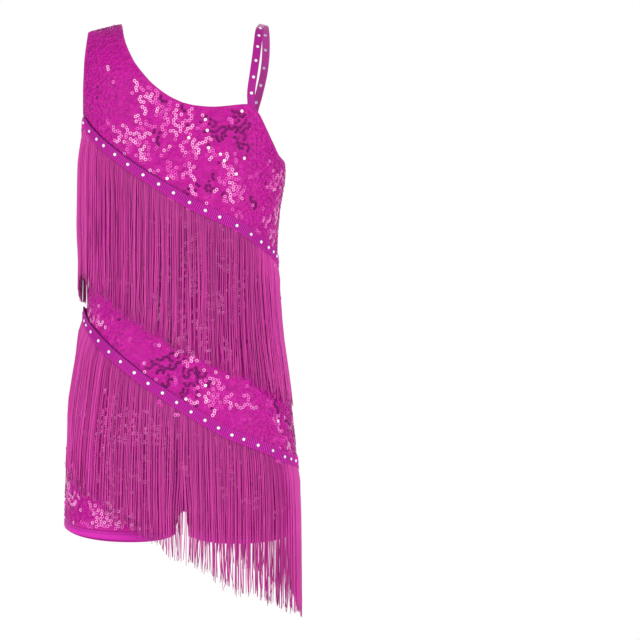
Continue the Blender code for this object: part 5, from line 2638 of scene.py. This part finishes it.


# Patches of painted glints and painted dark reflections on the sequin chains: x, z, reach, share of painted
# glint chains, share of painted dark reflection chains.
FRONT_PATCHES = (
    (-47, -68, 7, 0.45, 0), (-32, -77, 8, 0.85, 0), (-20, -89, 8.5, 0.9, 0), (-42, -98, 7, 0.7, 0),
    (-26, -99, 8, 0.55, 0.1), (-44, -110, 8, 0.6, 0), (-58, -120, 9, 0.8, 0), (-42, -125, 10, 0.92, 0),
    (-20, -129, 7, 0.6, 0.1), (-7, -90, 9, 0.45, 0.2), (3, -107, 8, 0.5, 0.1), (-6, -120, 7, 0.55, 0.1),
    (14, -121, 5, 0.6, 0.2), (-25, -151, 8, 0.45, 0), (2, -142, 12, 0.3, 0), (29, -137, 8, 0.35, 0),
    (40, -146, 8, 0.65, 0), (50, -153, 8, 0.85, 0), (36, -170, 6, 0.55, 0.2), (53, -166, 7, 0.6, 0),
    (44, -182, 11, 0.4, 0), (12, -158, 10, 0.3, 0.1), (-91, -43, 6, 0.03, 0), (33, -97, 9, 0, 0.95),
    (27, -109, 8, 0, 0.9), (37, -113, 8, 0, 0.95), (50, -110, 9, 0, 0.95), (30, -120, 7, 0, 0.85),
    (54, -120, 7, 0, 0.8), (15, -95, 6, 0.2, 0.75), (16, -117, 5, 0.2, 0.7), (54, -96, 6, 0, 0.6),
    (-17, -82, 5, 0.2, 0.5), (-28, -112, 6, 0.2, 0.45), (4, -170, 6, 0.1, 0.8), (14, -170, 6, 0.1, 0.8),
    (27, -163, 6, 0.1, 0.75), (38, -167, 5, 0.2, 0.6), (-36, -336, 8, 0.35, 0), (-90, -335, 10, 0.06, 0),
    (-38, -342, 8, 0.5, 0), (-12, -331, 10, 0, 0.5), (-18, -344, 10, 0, 0.5), (2, -340, 9, 0.1, 0.45),
    (-10, -358, 10, 0.1, 0.5), (4, -368, 10, 0.1, 0.5), (18, -352, 8, 0.35, 0.35), (22, -358, 8, 0.6, 0.2),
    (34, -364, 11, 0.55, 0.05), (26, -377, 9, 0.7, 0.05), (16, -382, 8, 0.2, 0.6), (50, -372, 12, 0.25, 0),
    (90, -158, 12, 0.28, 0.04), (94, -190, 14, 0.3, 0.05), (92, -215, 12, 0.3, 0.05),
    (110, -400, 14, 0.3, 0.04), (112, -425, 12, 0.32, 0.04), (-97, -300, 10, 0.45, 0.15),
    (-117, -452, 12, 0.35, 0.1), (-115, -475, 14, 0.32, 0.12), (-89, -498, 9, 0.9, 0),
    (-75, -500, 9, 0.75, 0), (-84, -486, 9, 0.6, 0), (-87, -472, 6, 0.4, 0), (-77, -488, 5, 0.2, 0.35),
    (-66, -498, 8, 0.7, 0.1), (-64, -505, 9, 0.55, 0.25), (-56, -496, 9, 0.5, 0.25),
    (-52, -507, 9, 0.6, 0.15), (-10, -205, 16, 0.45, 0), (15, -238, 26, 0.6, 0), (48, -240, 18, 0.5, 0),
    (-8, -272, 24, 0.6, 0), (28, -268, 22, 0.55, 0), (-50, -262, 18, 0.2, 0), (8, -300, 22, 0.5, 0),
    (24, -322, 18, 0.4, 0), (-66, -406, 24, 0.55, 0), (-36, -420, 24, 0.55, 0), (-62, -448, 22, 0.5, 0),
    (-96, -390, 14, 0.25, 0), (46, -446, 16, 0.35, 0), (70, -488, 14, 0.35, 0),
)
BACK_PATCHES = (
    (-76, -26, 12, 0, 0.45), (-88, -38, 9, 0, 0.55), (-88, -56, 7, 0.1, 0.3), (-78, -66, 8, 0.15, 0),
    (-60, -96, 8, 0.2, 0.05), (-97, -124, 11, 0.25, 0.35), (-52, -138, 9, 0.25, 0.1),
    (-60, -310, 20, 0.2, 0.2), (-32, -338, 12, 0.45, 0.1), (38, -378, 20, 0.45, 0.15),
    (26, -396, 22, 0.45, 0), (-36, -416, 20, 0.5, 0), (-62, -420, 14, 0.35, 0), (-112, -470, 16, 0.3, 0.15),
    (-70, -490, 9, 0.05, 0.35), (-44, -506, 12, 0.5, 0.1), (-68, -506, 10, 0.35, 0.05),
)


def main() -> None:
    """Build the garment in the order in which it is sewn."""
    logging.basicConfig(level=logging.INFO, format="%(message)s")
    bpy.ops.object.select_all(action="DESELECT")
    finishes = Finishes()
    front = Panel("front_panel_cloth", "front_panel", Face.FRONT, FRONT_LINES, (0.30, 0.52), 0.129, finishes)
    back = Panel("back_panel_cloth", "back_panel", Face.BACK, BACK_LINES, (0.30, 0.53), 0.108, finishes)
    inside = FRONT_LINES[: LINING_LAST_LINE + 1]
    lining = Lining("front_lining_knit", "front_lining", Face.FRONT, inside, (0.28, 0.27), 0.0536, finishes)
    for panel in (front, back, lining):
        obj = panel.build()
        settle(obj, Slot.LINING if panel is lining else Slot.SEQUIN, panel.node)
    SequinField(front, finishes, FRONT_PATCHES, 11).build()
    SequinField(back, finishes, BACK_PATCHES, 23).build()
    Edges(front, back, finishes).build()
    ribbons = Straps(finishes).build()
    legs = (("leg_binding_right", -1), ("leg_binding_left", 1))
    rings = {node: LegBinding(node, side, finishes).build() for node, side in legs}
    upper = {"outer": 500, "inner": 150, "trim": (1.0, 13.0, 0.12), "side_gain": (0.6, 0.1, -0.6, -0.6)}
    lower = {"outer": 530, "inner": 100, "trim": (1.0, 1.5, 0.12), "side_gain": (0.4, -0.75, -0.4, -0.4)}
    Tier(Threads("upper", UPPER, finishes, seed=5, below=LOWER, **upper)).build()
    Tier(Threads("lower", LOWER, finishes, seed=8, below=None, **lower)).build()
    Stones(finishes, ribbons).build()
    Sewing(finishes, ribbons, rings).build()
    Studio().build(finishes)


if __name__ == "__main__":
    main()
